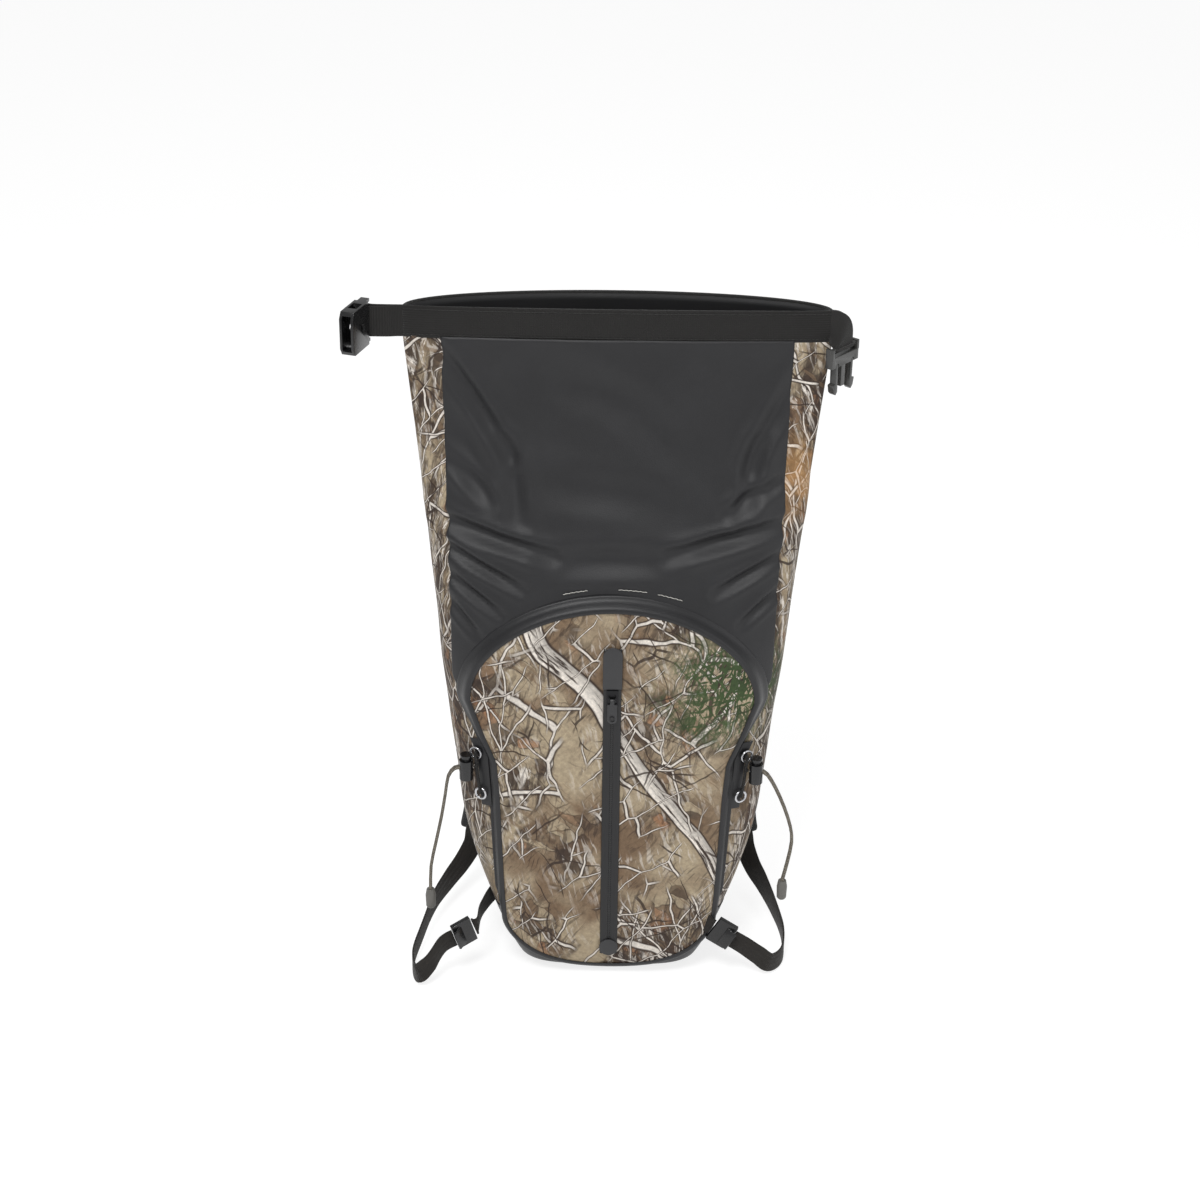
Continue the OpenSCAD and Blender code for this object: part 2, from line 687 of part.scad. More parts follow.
module ladder_lock(at, side, hang) {
  bar = 2.6;
  lever_l = 11;
  color([0.12, 0.12, 0.13])
  translate(at)
  rotate([0, side * hang[0], -side * hang[1]])
  difference() {
    union() {
      translate([-ladder_l / 2, -ladder_t / 2, -ladder_w / 2])
        cube([ladder_l, ladder_t, ladder_w]);
      translate([side * 2, 1.2 - ladder_t / 2, 0])
        rotate([0, 0, -side * 30])
          translate([side > 0 ? 0 : -lever_l, -2.4, 4 - ladder_w / 2])
            cube([lever_l, 2.4, ladder_w - 8]);
    }
    for (x = [bar - ladder_l / 2, bar / 2])
      translate([x, -0.6 - web_t / 2, -0.6 - web_w / 2])
        cube([ladder_l / 2 - 1.5 * bar, 2 * ladder_t, web_w + 1.2]);
  }
}
module left_ladder_lock() { ladder_lock(left_ladder, -1, left_hang); }
module right_ladder_lock() { ladder_lock(right_ladder, 1, right_hang); }

// the short tab that a ladder lock hangs on, from its root on the bag to the lock
module anchor_tab(at, side, hang, root, lean) {
  reach = ladder_l / 2 + 5 * gap;
  way = ladder_way(side, hang);
  color([0.1, 0.1, 0.1])
  loft(band(curve(concat(root, [at - (reach + 4) * way, at - reach * way]), 2), web_w - 2, web_t, lean, [0, 0, 1]));
}
side_root_z = left_ladder.z + 4;
side_root_x = half_w(side_root_z) + web_t / 2 + 2 * gap;
module left_anchor_tab() {
  anchor_tab(left_ladder, -1, left_hang, [
    [-side_root_x, 14, side_root_z], [-side_root_x - 1.5, -2, side_root_z],
    [-side_root_x - 9, -22, side_root_z], [-side_root_x - 15, -44, side_root_z]],
    [(half_w(side_root_z - web_w / 2) - half_w(side_root_z + web_w / 2)) / web_w, 0, 1]);
}
front_root_lift = pocket_d + web_t / 2 + 3 * gap;
module right_anchor_tab() {
  anchor_tab(right_ladder, 1, right_hang, [
    front_pt(80, right_ladder.z + 17, front_root_lift), front_pt(88, right_ladder.z + 13, front_root_lift)],
    [sin(right_hang[0]), 0, cos(right_hang[0])]);
}

module back_patch(x0, x1, z0, z1, rows, out, in) {
  loft([for (z = span(z0, z1, rows)) back_skin(z, x0, x1, 8, out, in)]);
}
module strap_yoke() {
  color([0.1, 0.1, 0.1])
  back_patch(-yoke_w / 2, yoke_w / 2, yoke_low_z, yoke_high_z, 4, gap + yoke_t, gap);
}

pad_top_z = 412;
pad_low_z = 90;
pad_inner_x = 8;
pad_outer_x = 84;
module back_pad(side) {
  color([0.15, 0.15, 0.15])
  back_patch(side > 0 ? pad_inner_x : -pad_outer_x, side > 0 ? pad_outer_x : -pad_inner_x, pad_low_z, pad_top_z, 12, gap + back_pad_t, gap);
}
module left_back_pad() { back_pad(-1); }
module right_back_pad() { back_pad(1); }

handle_z = 484;
handle_x = 42;
handle_out = 26;
module haul_handle() {
  seat = back_pt(handle_x, handle_z, 2 * gap + yoke_t + web_t / 2);
  near = seat.y + 2.6;
  color([0.11, 0.11, 0.11])
  loft(band(curve([
    [handle_x + 16, near - 1, handle_z], [handle_x, near, handle_z], [handle_x - 8, near + 7, handle_z],
    [handle_x * 0.5, near + handle_out - 4, handle_z], [0, near + handle_out, handle_z],
    [-handle_x * 0.5, near + handle_out - 4, handle_z], [-handle_x + 8, near + 7, handle_z],
    [-handle_x, near, handle_z], [-handle_x - 16, near - 1, handle_z]], 3),
    web_w, web_t * 1.6, [0, 0, 1], [0, 0, 1]));
}

base_boot();
front_wall();
back_wall();
left_gusset();
right_gusset();
throat();
collar_front();
collar_back();
front_stiffener();
back_stiffener();
pocket_panel();
pocket_binding();
zip_tape_left();
zip_tape_right();
zip_coil();
zip_garage();
zip_bottom_stop();
zip_slider();
zip_pull();
left_buckle_tab();
right_buckle_tab();
buckle_socket();
buckle_plug();
plug_prong_front();
plug_prong_rear();
left_ring_patch();
right_ring_patch();
left_rings();
right_rings();
left_lace();
right_lace();
left_lock_barrel();
right_lock_barrel();
left_lock_plunger();
right_lock_plunger();
left_lock_spring();
right_lock_spring();
left_tail_a();
left_tail_b();
right_tail_a();
right_tail_b();
left_cord_end();
right_cord_end();
left_shoulder_strap();
right_shoulder_strap();
left_strap_web();
right_strap_web();
left_ladder_lock();
right_ladder_lock();
left_anchor_tab();
right_anchor_tab();
strap_yoke();
left_back_pad();
right_back_pad();
haul_handle();
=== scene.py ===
"""A roll-top hunting backpack: coated cloth, camouflage, webbing collar, bungee cords and buckle."""

import math

import bmesh
import bpy
from bpy.props import FloatProperty, FloatVectorProperty, PointerProperty
from mathutils import Matrix, Vector, noise
from mathutils.bvhtree import BVHTree


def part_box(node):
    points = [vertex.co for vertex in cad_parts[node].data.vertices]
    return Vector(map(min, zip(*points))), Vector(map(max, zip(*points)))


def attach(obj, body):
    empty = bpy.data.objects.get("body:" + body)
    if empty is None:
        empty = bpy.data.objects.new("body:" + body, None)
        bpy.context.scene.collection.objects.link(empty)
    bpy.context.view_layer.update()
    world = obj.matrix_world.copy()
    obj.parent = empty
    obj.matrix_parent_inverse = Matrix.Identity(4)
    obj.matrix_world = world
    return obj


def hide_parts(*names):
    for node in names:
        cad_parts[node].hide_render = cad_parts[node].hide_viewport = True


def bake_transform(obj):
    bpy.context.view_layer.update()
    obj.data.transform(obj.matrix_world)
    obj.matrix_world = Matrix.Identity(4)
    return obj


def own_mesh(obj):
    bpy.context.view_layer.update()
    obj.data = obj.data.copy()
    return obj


bl_info = {
    "name": "Roll-top hunting backpack",
    "version": (1, 0, 0),
    "blender": (4, 5, 0),
    "location": "3D View > Sidebar > Backpack",
    "description": "Makes the cloth, webbing and fittings of a roll-top hunting backpack around its frame",
    "category": "Object",
}

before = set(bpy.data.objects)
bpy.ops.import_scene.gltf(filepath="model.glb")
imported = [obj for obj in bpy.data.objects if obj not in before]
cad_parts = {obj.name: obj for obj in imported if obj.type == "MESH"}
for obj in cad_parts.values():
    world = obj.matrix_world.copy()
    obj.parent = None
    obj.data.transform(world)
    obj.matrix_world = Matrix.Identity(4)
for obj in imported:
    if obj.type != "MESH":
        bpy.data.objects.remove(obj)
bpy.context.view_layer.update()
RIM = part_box("collar_front")
MM = 0.001
CLOTH = 0.0008
FORWARD, BACKWARD, UP, ACROSS = Vector((0, -1, 0)), Vector((0, 1, 0)), Vector((0, 0, 1)), Vector((1, 0, 0))
SIDES = (("left", -1), ("right", 1))


def srgb(red, green, blue):
    """A colour given in steps of 0 to 255, as the linear values that Blender's colours hold."""
    shares = [c / 255 for c in (red, green, blue)]
    return tuple(((c + 0.055) / 1.055) ** 2.4 if c > 10 / 255 else c / 12.92 for c in shares)


def size(name, about, value):
    return FloatProperty(
        name=name, description=about, default=value, min=0.0, unit="LENGTH", subtype="DISTANCE")


def colour(name, about, value):
    return FloatVectorProperty(
        name=name, description=about, default=value, min=0.0, max=1.0, size=3, subtype="COLOR")


class BACKPACK_sizes(bpy.types.PropertyGroup):
    """Sizes of the cloth body"""

    hip_width: size("Hip width", "Width of the body at the knee", 0.288)
    base_width: size("Base width", "Width of the base", 0.172)
    pouch_depth: size("Pouch depth", "How far the pocket stands off the front", 0.008)
    body_depth: size("Body depth", "Depth of the body where it is full", 0.148)
    knee_height: size("Knee height", "Height below which the sides draw in", 0.18)
    full_height: size("Full height", "Height above which the body flattens", 0.34)
    boot_height: size("Boot height", "Height of the charcoal boot", 0.062)
    front_lip: size("Front lip", "How far the front of the mouth bows out", 0.008)
    back_lip: size("Back lip", "How far the back of the mouth bows out", 0.046)
    throat_height: size("Throat height", "Height of the soft strip under the collar", 0.042)
    pouch_width: size("Pouch width", "Width of the pocket under its arch", 0.268)
    pouch_shoulder: size("Pouch shoulder", "Height at which the pocket's arch starts", 0.3)
    fold_depth: size("Fold depth", "How deep the cloth's soft folds are", 0.0036)


class BACKPACK_colours(bpy.types.PropertyGroup):
    """Colours of the cloths and fittings"""

    charcoal: colour("Charcoal", "Coated cloth of the front and boot", srgb(31, 31, 33))
    khaki: colour("Khaki", "Lightest ground of the camouflage", srgb(176, 160, 134))
    earth: colour("Earth", "Middle brown of the camouflage", srgb(122, 100, 78))
    bark: colour("Bark", "Dark brown of the camouflage", srgb(58, 45, 38))
    twig: colour("Twig", "Pale branches of the camouflage", srgb(232, 224, 214))
    rust: colour("Rust", "Dead leaves of the camouflage", srgb(150, 98, 62))
    amber: colour("Amber", "Warm patch of the camouflage", srgb(205, 156, 98))
    needle: colour("Needle", "Green sprigs of the camouflage", srgb(60, 78, 44))
    webbing: colour("Webbing", "Woven tape and straps", srgb(34, 33, 32))
    bungee: colour("Bungee", "Loose elastic cord", srgb(118, 112, 102))
    moulding: colour("Moulding", "Hard plastic of buckle and locks", srgb(22, 22, 23))


def sizes():
    return bpy.context.scene.backpack_sizes


def colours():
    return bpy.context.scene.backpack_colours


# ---------------------------------------------------------------- shape of the body


def lerp(a, b, t):
    return a + (b - a) * t


def clamp(v, low=0.0, high=1.0):
    return max(low, min(high, v))


def ease(t):
    return (1 - math.cos(math.pi * clamp(t))) / 2


def lookup(v, table):
    """The value at v of a table of (place, value) pairs, straight between its rows."""
    if v <= table[0][0]:
        return table[0][1]
    for (p, a), (q, b) in zip(table, table[1:]):
        if v <= q:
            return lerp(a, b, (v - p) / (q - p))
    return table[-1][1]


def signed(v, p):
    return math.copysign(abs(v) ** p, v)


FRONT_SEAM = ((0, 0.9), (0.28, 0.87), (0.46, 0.93), (0.62, 0.88), (1, 0.8))
BACK_SEAM = 0.84
WAIST = ((0, 0.73), (0.09, 0.77), (0.2, 0.8), (0.236, 0.82), (0.262, 0.9), (0.3, 1), (0.5, 1))
POUCH_KNEE, POUCH_DROP = 0.060, 0.051
# soft creases of the front: from and to as x and z, then half width and depth
CREASES = (
    (-0.168, 0.634, -0.096, 0.528, 0.008, 0.0072),
    (-0.098, 0.536, -0.088, 0.470, 0.010, 0.0052),
    (-0.150, 0.560, -0.120, 0.500, 0.012, 0.0050),
    (-0.164, 0.470, -0.056, 0.440, 0.0075, 0.0080),
    (0.050, 0.442, 0.160, 0.470, 0.0075, 0.0076),
    (-0.060, 0.436, 0.054, 0.438, 0.012, 0.0046),
    (-0.156, 0.446, -0.084, 0.410, 0.0055, 0.0062),
    (-0.152, 0.420, -0.104, 0.386, 0.0050, 0.0056),
    (-0.152, 0.396, -0.124, 0.364, 0.0045, 0.0044),
    (0.154, 0.440, 0.092, 0.408, 0.0055, 0.0058),
    (0.152, 0.408, 0.116, 0.378, 0.0050, 0.0044),
    (0.166, 0.606, 0.120, 0.520, 0.009, 0.0062),
    (0.128, 0.540, 0.116, 0.476, 0.009, 0.0048),
    (0.160, 0.512, 0.100, 0.478, 0.0070, 0.0056),
    (-0.162, 0.530, -0.110, 0.486, 0.0070, 0.0050),
    (0.000, 0.585, 0.070, 0.520, 0.018, 0.0030),
    (-0.070, 0.606, 0.020, 0.570, 0.020, 0.0030),
    (-0.060, 0.502, 0.050, 0.488, 0.016, 0.0030),
)


class Body:
    """The bag's outer face: half width, depth and roundness at each height."""

    def __init__(self):
        s = sizes()
        self.rim_low, self.rim_high = RIM[0][2], RIM[1][2]
        self.mouth = RIM[1][0]
        self.hip, self.base = s.hip_width / 2, s.base_width / 2
        self.front, self.back = s.body_depth / 2 - s.pouch_depth, s.body_depth / 2
        self.lips = s.front_lip, s.back_lip
        self.knee, self.full, self.boot = s.knee_height, s.full_height, s.boot_height
        self.pouch_depth, self.pouch, self.shoulder = s.pouch_depth, s.pouch_width / 2, s.pouch_shoulder
        self.pouch_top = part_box("pocket_panel")[1][2]
        self.throat = self.rim_low - s.throat_height
        self.fold = s.fold_depth

    def rise(self, z):
        return ease((z - self.full) / (self.rim_low - self.full))

    def taper(self, z):
        return lerp(self.hip, self.mouth, (z - self.knee) / (self.rim_low - self.knee))

    def half(self, z):
        if z > self.rim_low:
            return self.mouth
        if z >= self.knee:
            return self.taper(z)
        return self.taper(z) - (self.taper(0) - self.base) * ((self.knee - max(z, 0)) / self.knee) ** 1.8

    def foot(self, z):
        """How far the lowest edge of the boot is drawn in."""
        height, inset = 0.026, 0.010
        return inset * (1 - max(z, 0) / height) ** 2 if z < height else 0.0

    def depth(self, z, front):
        full, lip = (self.front, self.lips[0]) if front else (self.back, self.lips[1])
        return lerp(full, lip, self.rise(z)) - self.foot(z)

    def power(self, z):
        return lerp(0.5, 1.0, self.rise(z))

    def point(self, angle, z, lift=0.0):
        """A point of the face at an angle in degrees (0 right, 90 back, 270 front) and a height."""
        c, s = math.cos(math.radians(angle)), math.sin(math.radians(angle))
        p = self.power(z)
        return Vector(((self.half(z) + lift) * signed(c, p), (self.depth(z, s < 0) + lift) * signed(s, p), z))

    def face(self, x, z, lift=0.0, front=True):
        """The point of the front or back at x and z, lifted off the cloth."""
        p = self.power(z)
        share = 1 - min(1, abs(x) / (self.half(z) + lift)) ** (2 / p)
        y = (self.depth(z, front) + lift) * max(0.001, share) ** (p / 2)
        return Vector((x, -y if front else y, z))

    def seam(self, z, front=True):
        """The angle of a gusset's seam: beside the pocket's edging, and straight above its shoulder."""
        share = lookup(z / self.rim_high, FRONT_SEAM) if front else BACK_SEAM
        over = 0.02
        if front and z < self.shoulder + over:
            beside = (self.pouch_half(min(z, self.shoulder)) + 0.0055) / self.half(z)
            above, below = ease((z - self.shoulder) / over), 1 - ease((z - 0.062) / 0.03)
            share = lerp(min(share, beside), share, max(above, below))
        return math.degrees(math.acos(share ** (1 / self.power(z))))

    def soft(self, p):
        """How far the cloth stands in or out at a point, from its creases and its own slackness."""
        loose = ease((p.z - 0.10) / 0.16) * (1 - 0.75 * ease((p.z - 0.585) / 0.05))
        q = Vector((p.x * 9, p.y * 7, p.z * 8))
        out = self.fold * (noise.noise(q) + 0.45 * noise.noise(q * 2.7 + Vector((3, 1, 7)))) * loose
        if p.y < 0.02:
            for x0, z0, x1, z1, wide, deep in CREASES:
                a, b = Vector((x0, z0)), Vector((x1, z1))
                d = b - a
                t = clamp((Vector((p.x, p.z)) - a).dot(d) / d.length_squared)
                gap = (Vector((p.x, p.z)) - a - d * t).length / wide
                if gap < 3:
                    groove = math.exp(-gap * gap) - 0.5 * math.exp(-2 * (gap - 1.5) ** 2)
                    out -= deep * groove * math.sin(math.pi * (0.12 + 0.76 * t))
        return out

    def cloth(self, angle, z, lift=0.0):
        """The face with its soft folds, which show in its depth more than in its outline."""
        flat = self.point(angle, z, lift)
        moved = self.point(angle, z, lift + self.soft(flat))
        x = lerp(flat.x, moved.x, 0.45)
        # towards the mouth the cloth stays a little inside its outline
        steady, edge = 0.48, abs(flat.x) - 0.0006
        if z > steady and abs(x) > edge:
            x = lerp(x, math.copysign(max(0, edge), x), ease((z - steady) / 0.03))
        return Vector((x, moved.y, z))

    def pouch_half(self, z):
        """Half the pocket's width at a height, with its arch and its rounded foot."""
        if z > self.shoulder:
            up = (z - self.shoulder) / (self.pouch_top - self.shoulder)
            return self.pouch * math.sqrt(max(0, 1 - up ** 2))
        if z < POUCH_KNEE:
            bend = math.sqrt(max(0, 1 - ((POUCH_KNEE - z) / POUCH_DROP) ** 2))
            return self.pouch * lookup(POUCH_KNEE, WAIST) * bend
        return self.pouch * lookup(z, WAIST)

    def pouch_edge(self, count):
        """The right side of the pocket's outline from its foot to its top, evenly along its length."""
        wide, rise = self.pouch * lookup(POUCH_KNEE, WAIST), self.pouch_top - self.shoulder
        run = []
        for i in range(25):
            a = math.pi / 2 * (1 - i / 24)
            run.append(Vector((wide * math.cos(a), POUCH_KNEE - POUCH_DROP * math.sin(a))))
        for i in range(1, 40):
            z = lerp(POUCH_KNEE, self.shoulder, i / 40)
            run.append(Vector((self.pouch_half(z), z)))
        for i in range(31):
            a = math.pi / 2 * i / 30
            run.append(Vector((self.pouch * math.cos(a), self.shoulder + rise * math.sin(a))))
        return even(run, count)


def even(run, count):
    """The same line with its points spread evenly along it."""
    far = [0.0]
    for a, b in zip(run, run[1:]):
        far.append(far[-1] + (b - a).length)
    made = []
    k = 0
    for i in range(count):
        want = far[-1] * i / (count - 1)
        while k < len(run) - 2 and far[k + 1] < want:
            k += 1
        made.append(run[k].lerp(run[k + 1], clamp((want - far[k]) / max(1e-9, far[k + 1] - far[k]))))
    return made


def between(points, share):
    """The point that lies that share of the way through a list of points."""
    k = share * (len(points) - 1)
    low, high = points[int(k)], points[min(len(points) - 1, int(k) + 1)]
    return low.lerp(high, k - int(k))


def length_of(run):
    return sum((b - a).length for a, b in zip(run, run[1:]))


def smooth_route(points, steps):
    """A smooth run through the points, with that many steps between neighbours."""
    p = [Vector(q) for q in points]
    run = []
    for i in range(len(p) - 1):
        a, b, c, d = p[max(0, i - 1)], p[i], p[i + 1], p[min(len(p) - 1, i + 2)]
        for k in range(steps):
            t = k / steps
            curve = (2 * a - 5 * b + 4 * c - d) * t * t + (3 * b - a - 3 * c + d) * t ** 3
            run.append((2 * b + (c - a) * t + curve) / 2)
    return run + [p[-1]]


# ---------------------------------------------------------------- mesh making


def settle(obj, body, slot, *nodes):
    """Says which body a piece rides on and which of the frame's nodes it stands for; the slot it fills is not
    used.
    """
    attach(obj, body)
    if nodes:
        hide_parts(*nodes)
    return obj


def bag_object(name, bm, material, sharp=None):
    """Turns a bmesh into an object at the origin with its finish."""
    mesh = bpy.data.meshes.new(name)
    bm.to_mesh(mesh)
    bm.free()
    obj = bpy.data.objects.new(name, mesh)
    bpy.context.scene.collection.objects.link(obj)
    mesh.materials.append(material)
    mesh.shade_smooth()
    if sharp:
        mesh.set_sharp_from_angle(angle=math.radians(sharp))
    return obj


def turn_outward(bm, facing=None):
    """Makes the faces agree, and point towards facing or away from the middle."""
    bmesh.ops.recalc_face_normals(bm, faces=bm.faces)
    middle = sum((v.co for v in bm.verts), Vector()) / len(bm.verts)
    total = 0.0
    for f in bm.faces:
        way = facing if facing is not None else f.calc_center_median() - middle
        total += f.normal.dot(way) * f.calc_area()
    if total < 0:
        bmesh.ops.reverse_faces(bm, faces=bm.faces)


def draped_sheet(across, up, place, cloth=(1, 1), facing=None, close_ends=False):
    """A grid of quads with its corners where place(u, v) says; doubles are merged, so it can close."""
    bm = bmesh.new()
    layer = bm.loops.layers.uv.new("UVMap")
    bmesh.ops.create_grid(bm, x_segments=across, y_segments=up, size=0.5)
    for f in bm.faces:
        for loop in f.loops:
            co = loop.vert.co
            loop[layer].uv = ((co.x + 0.5) * cloth[0], (co.y + 0.5) * cloth[1])
    for v in bm.verts:
        v.co = place(v.co.x + 0.5, v.co.y + 0.5)
    bmesh.ops.remove_doubles(bm, verts=bm.verts, dist=2e-6)
    if close_ends:
        open_edges = [e for e in bm.edges if e.is_boundary]
        bmesh.ops.holes_fill(bm, edges=open_edges)
    turn_outward(bm, facing)
    return bm


def thicken(obj, amount, offset=-1.0):
    wall = obj.modifiers.new("Wall", "SOLIDIFY")
    wall.thickness, wall.offset, wall.use_even_offset = amount, offset, False
    return obj


def sheet(name, look, grid, place, cloth, facing=None, wall=None):
    """A draped sheet as an object with its finish, thickened inward if it is given a wall."""
    obj = bag_object(name, draped_sheet(*grid, place, cloth, facing), finish(look))
    return thicken(obj, wall) if wall else obj


def flat_profile(width, thick, turn=4):
    """Corners of a webbing's section, with its long edges rounded, as pairs across and through."""
    r = thick / 2
    made = []
    for side, start in ((1, -90), (-1, 90)):
        for i in range(turn + 1):
            a = math.radians(start + 180 * i / turn)
            made.append((side * (width / 2 - r) + r * math.cos(a), r * math.sin(a)))
    return made


def frames(run, first, last):
    """At each point of a run: the point, the way across, and the way out of its face.

    The way across turns from first to last over the first half of the run.
    """
    made = []
    n = len(run)
    first, last = Vector(first), Vector(last)
    for i, p in enumerate(run):
        h = (run[min(n - 1, i + 1)] - run[max(0, i - 1)]).normalized()
        side = first.lerp(last, min(1, (i / n) / 0.5))
        b = (side - side.dot(h) * h).normalized()
        made.append((p, b, h.cross(b)))
    return made


def strip_along(run, first, last, width, thick, wide=None):
    """Webbing along a run: width in metres, or wide(share) for one that changes."""
    stations = frames(run, first, last)
    rows = len(run) - 1

    def place(u, v):
        k = round(v * rows)
        p, b, n = stations[k]
        w = wide(v) if wide else width
        ring = flat_profile(w, thick)
        x, y = ring[round(u * len(ring)) % len(ring)]
        return p + b * x + n * y

    return draped_sheet(len(flat_profile(1, 0.1)), rows, place, (2 * width, length_of(run)), close_ends=True)


def webbing(name, look, run, sides, width, thick, body, *nodes, wide=None):
    """A piece of webbing along a run, with its finish, riding on a body."""
    made = bag_object(name, strip_along(run, *sides, width, thick, wide), finish(look))
    return settle(made, body, "webbing", *nodes)


def round_run(points, radius, name, material, resolution=6):
    """A free curve of that radius through the points."""
    data = bpy.data.curves.new(name, "CURVE")
    data.dimensions = "3D"
    line = data.splines.new("POLY")
    line.points.add(len(points) - 1)
    for spot, p in zip(line.points, points):
        spot.co = (p[0], p[1], p[2], 1)
    data.bevel_depth = radius
    data.bevel_resolution = resolution
    data.use_fill_caps = True
    data.materials.append(material)
    obj = bpy.data.objects.new(name, data)
    bpy.context.scene.collection.objects.link(obj)
    return obj


def evaluated_mesh(obj):
    """A new mesh of what an object's modifiers or curve make."""
    bpy.context.view_layer.update()
    return bpy.data.meshes.new_from_object(obj.evaluated_get(bpy.context.evaluated_depsgraph_get()))


def solid_run(points, radius, name, material, resolution=4):
    """The same as a closed mesh."""
    obj = round_run(points, radius, name + "_line", material, resolution)
    mesh = evaluated_mesh(obj)
    data = obj.data
    bpy.data.objects.remove(obj)
    bpy.data.curves.remove(data)
    made = bpy.data.objects.new(name, mesh)
    bpy.context.scene.collection.objects.link(made)
    bm = bmesh.new()
    bm.from_mesh(mesh)
    bmesh.ops.remove_doubles(bm, verts=bm.verts, dist=1e-6)
    bmesh.ops.recalc_face_normals(bm, faces=bm.faces)
    bm.to_mesh(mesh)
    bm.free()
    mesh.shade_smooth()
    return made


def stitched(name, points, out, body, pitch, thread, look, slot="webbing"):
    """A row of stitches: one thread that dips into the cloth between them."""
    count = max(2, round(length_of(points) / pitch))
    steps = 8
    lifted = []
    for i, q in enumerate(even(points, count * steps + 1)):
        swing = clamp(math.sin(2 * math.pi * i / steps + 0.4) * 1.8, -1, 1)
        lifted.append(q + out * swing * thread * 1.1)
    settle(solid_run(lifted, thread, name, finish(look), 1), body, slot)


def moulded(node, name, look, body, slot, width=0.0006, segments=3):
    """A hard part of the frame as a moulding: its own shape with rounded corners."""
    bm = bmesh.new()
    bm.from_mesh(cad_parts[node].data)
    bmesh.ops.remove_doubles(bm, verts=bm.verts, dist=1e-5)
    bmesh.ops.dissolve_limit(bm, angle_limit=math.radians(3), verts=bm.verts, edges=bm.edges)
    crisp = [e for e in bm.edges if len(e.link_faces) == 2 and e.calc_face_angle(0) > math.radians(38)]
    bmesh.ops.bevel(bm, geom=crisp, offset=width, offset_type="OFFSET", affect="EDGES", segments=segments,
                    profile=0.5, material=-1, clamp_overlap=True)
    return settle(bag_object(name, bm, finish(look), sharp=50), body, slot, node)


# ---------------------------------------------------------------- finishes


class Wire:
    """A socket that takes part in Python sums: each operator adds its Math node."""

    def __init__(self, tree, socket):
        self.tree, self.socket = tree, socket

    def _math(self, operation, *values):
        made = self.tree.nodes.new("ShaderNodeMath")
        made.operation = operation
        for k, value in enumerate(values):
            if isinstance(value, Wire):
                self.tree.links.new(value.socket, made.inputs[k])
            else:
                made.inputs[k].default_value = value
        return Wire(self.tree, made.outputs[0])

    def __add__(self, other):
        return self._math("ADD", self, other)

    def __radd__(self, other):
        return self._math("ADD", other, self)

    def __sub__(self, other):
        return self._math("SUBTRACT", self, other)

    def __rsub__(self, other):
        return self._math("SUBTRACT", other, self)

    def __mul__(self, other):
        return self._math("MULTIPLY", self, other)

    def __truediv__(self, other):
        return self._math("DIVIDE", self, other)

    def __abs__(self):
        return self._math("ABSOLUTE", self)

    def sine(self):
        return self._math("SINE", self)

    def most(self, other):
        return self._math("MAXIMUM", self, other)

    def least(self, other):
        return self._math("MINIMUM", self, other)

    def step(self, low, high):
        """0 below low and 1 above high, smooth between."""
        made = self.tree.nodes.new("ShaderNodeMapRange")
        made.interpolation_type = "SMOOTHSTEP"
        self.tree.links.new(self.socket, made.inputs[0])
        made.inputs[1].default_value, made.inputs[2].default_value = low, high
        return Wire(self.tree, made.outputs[0])


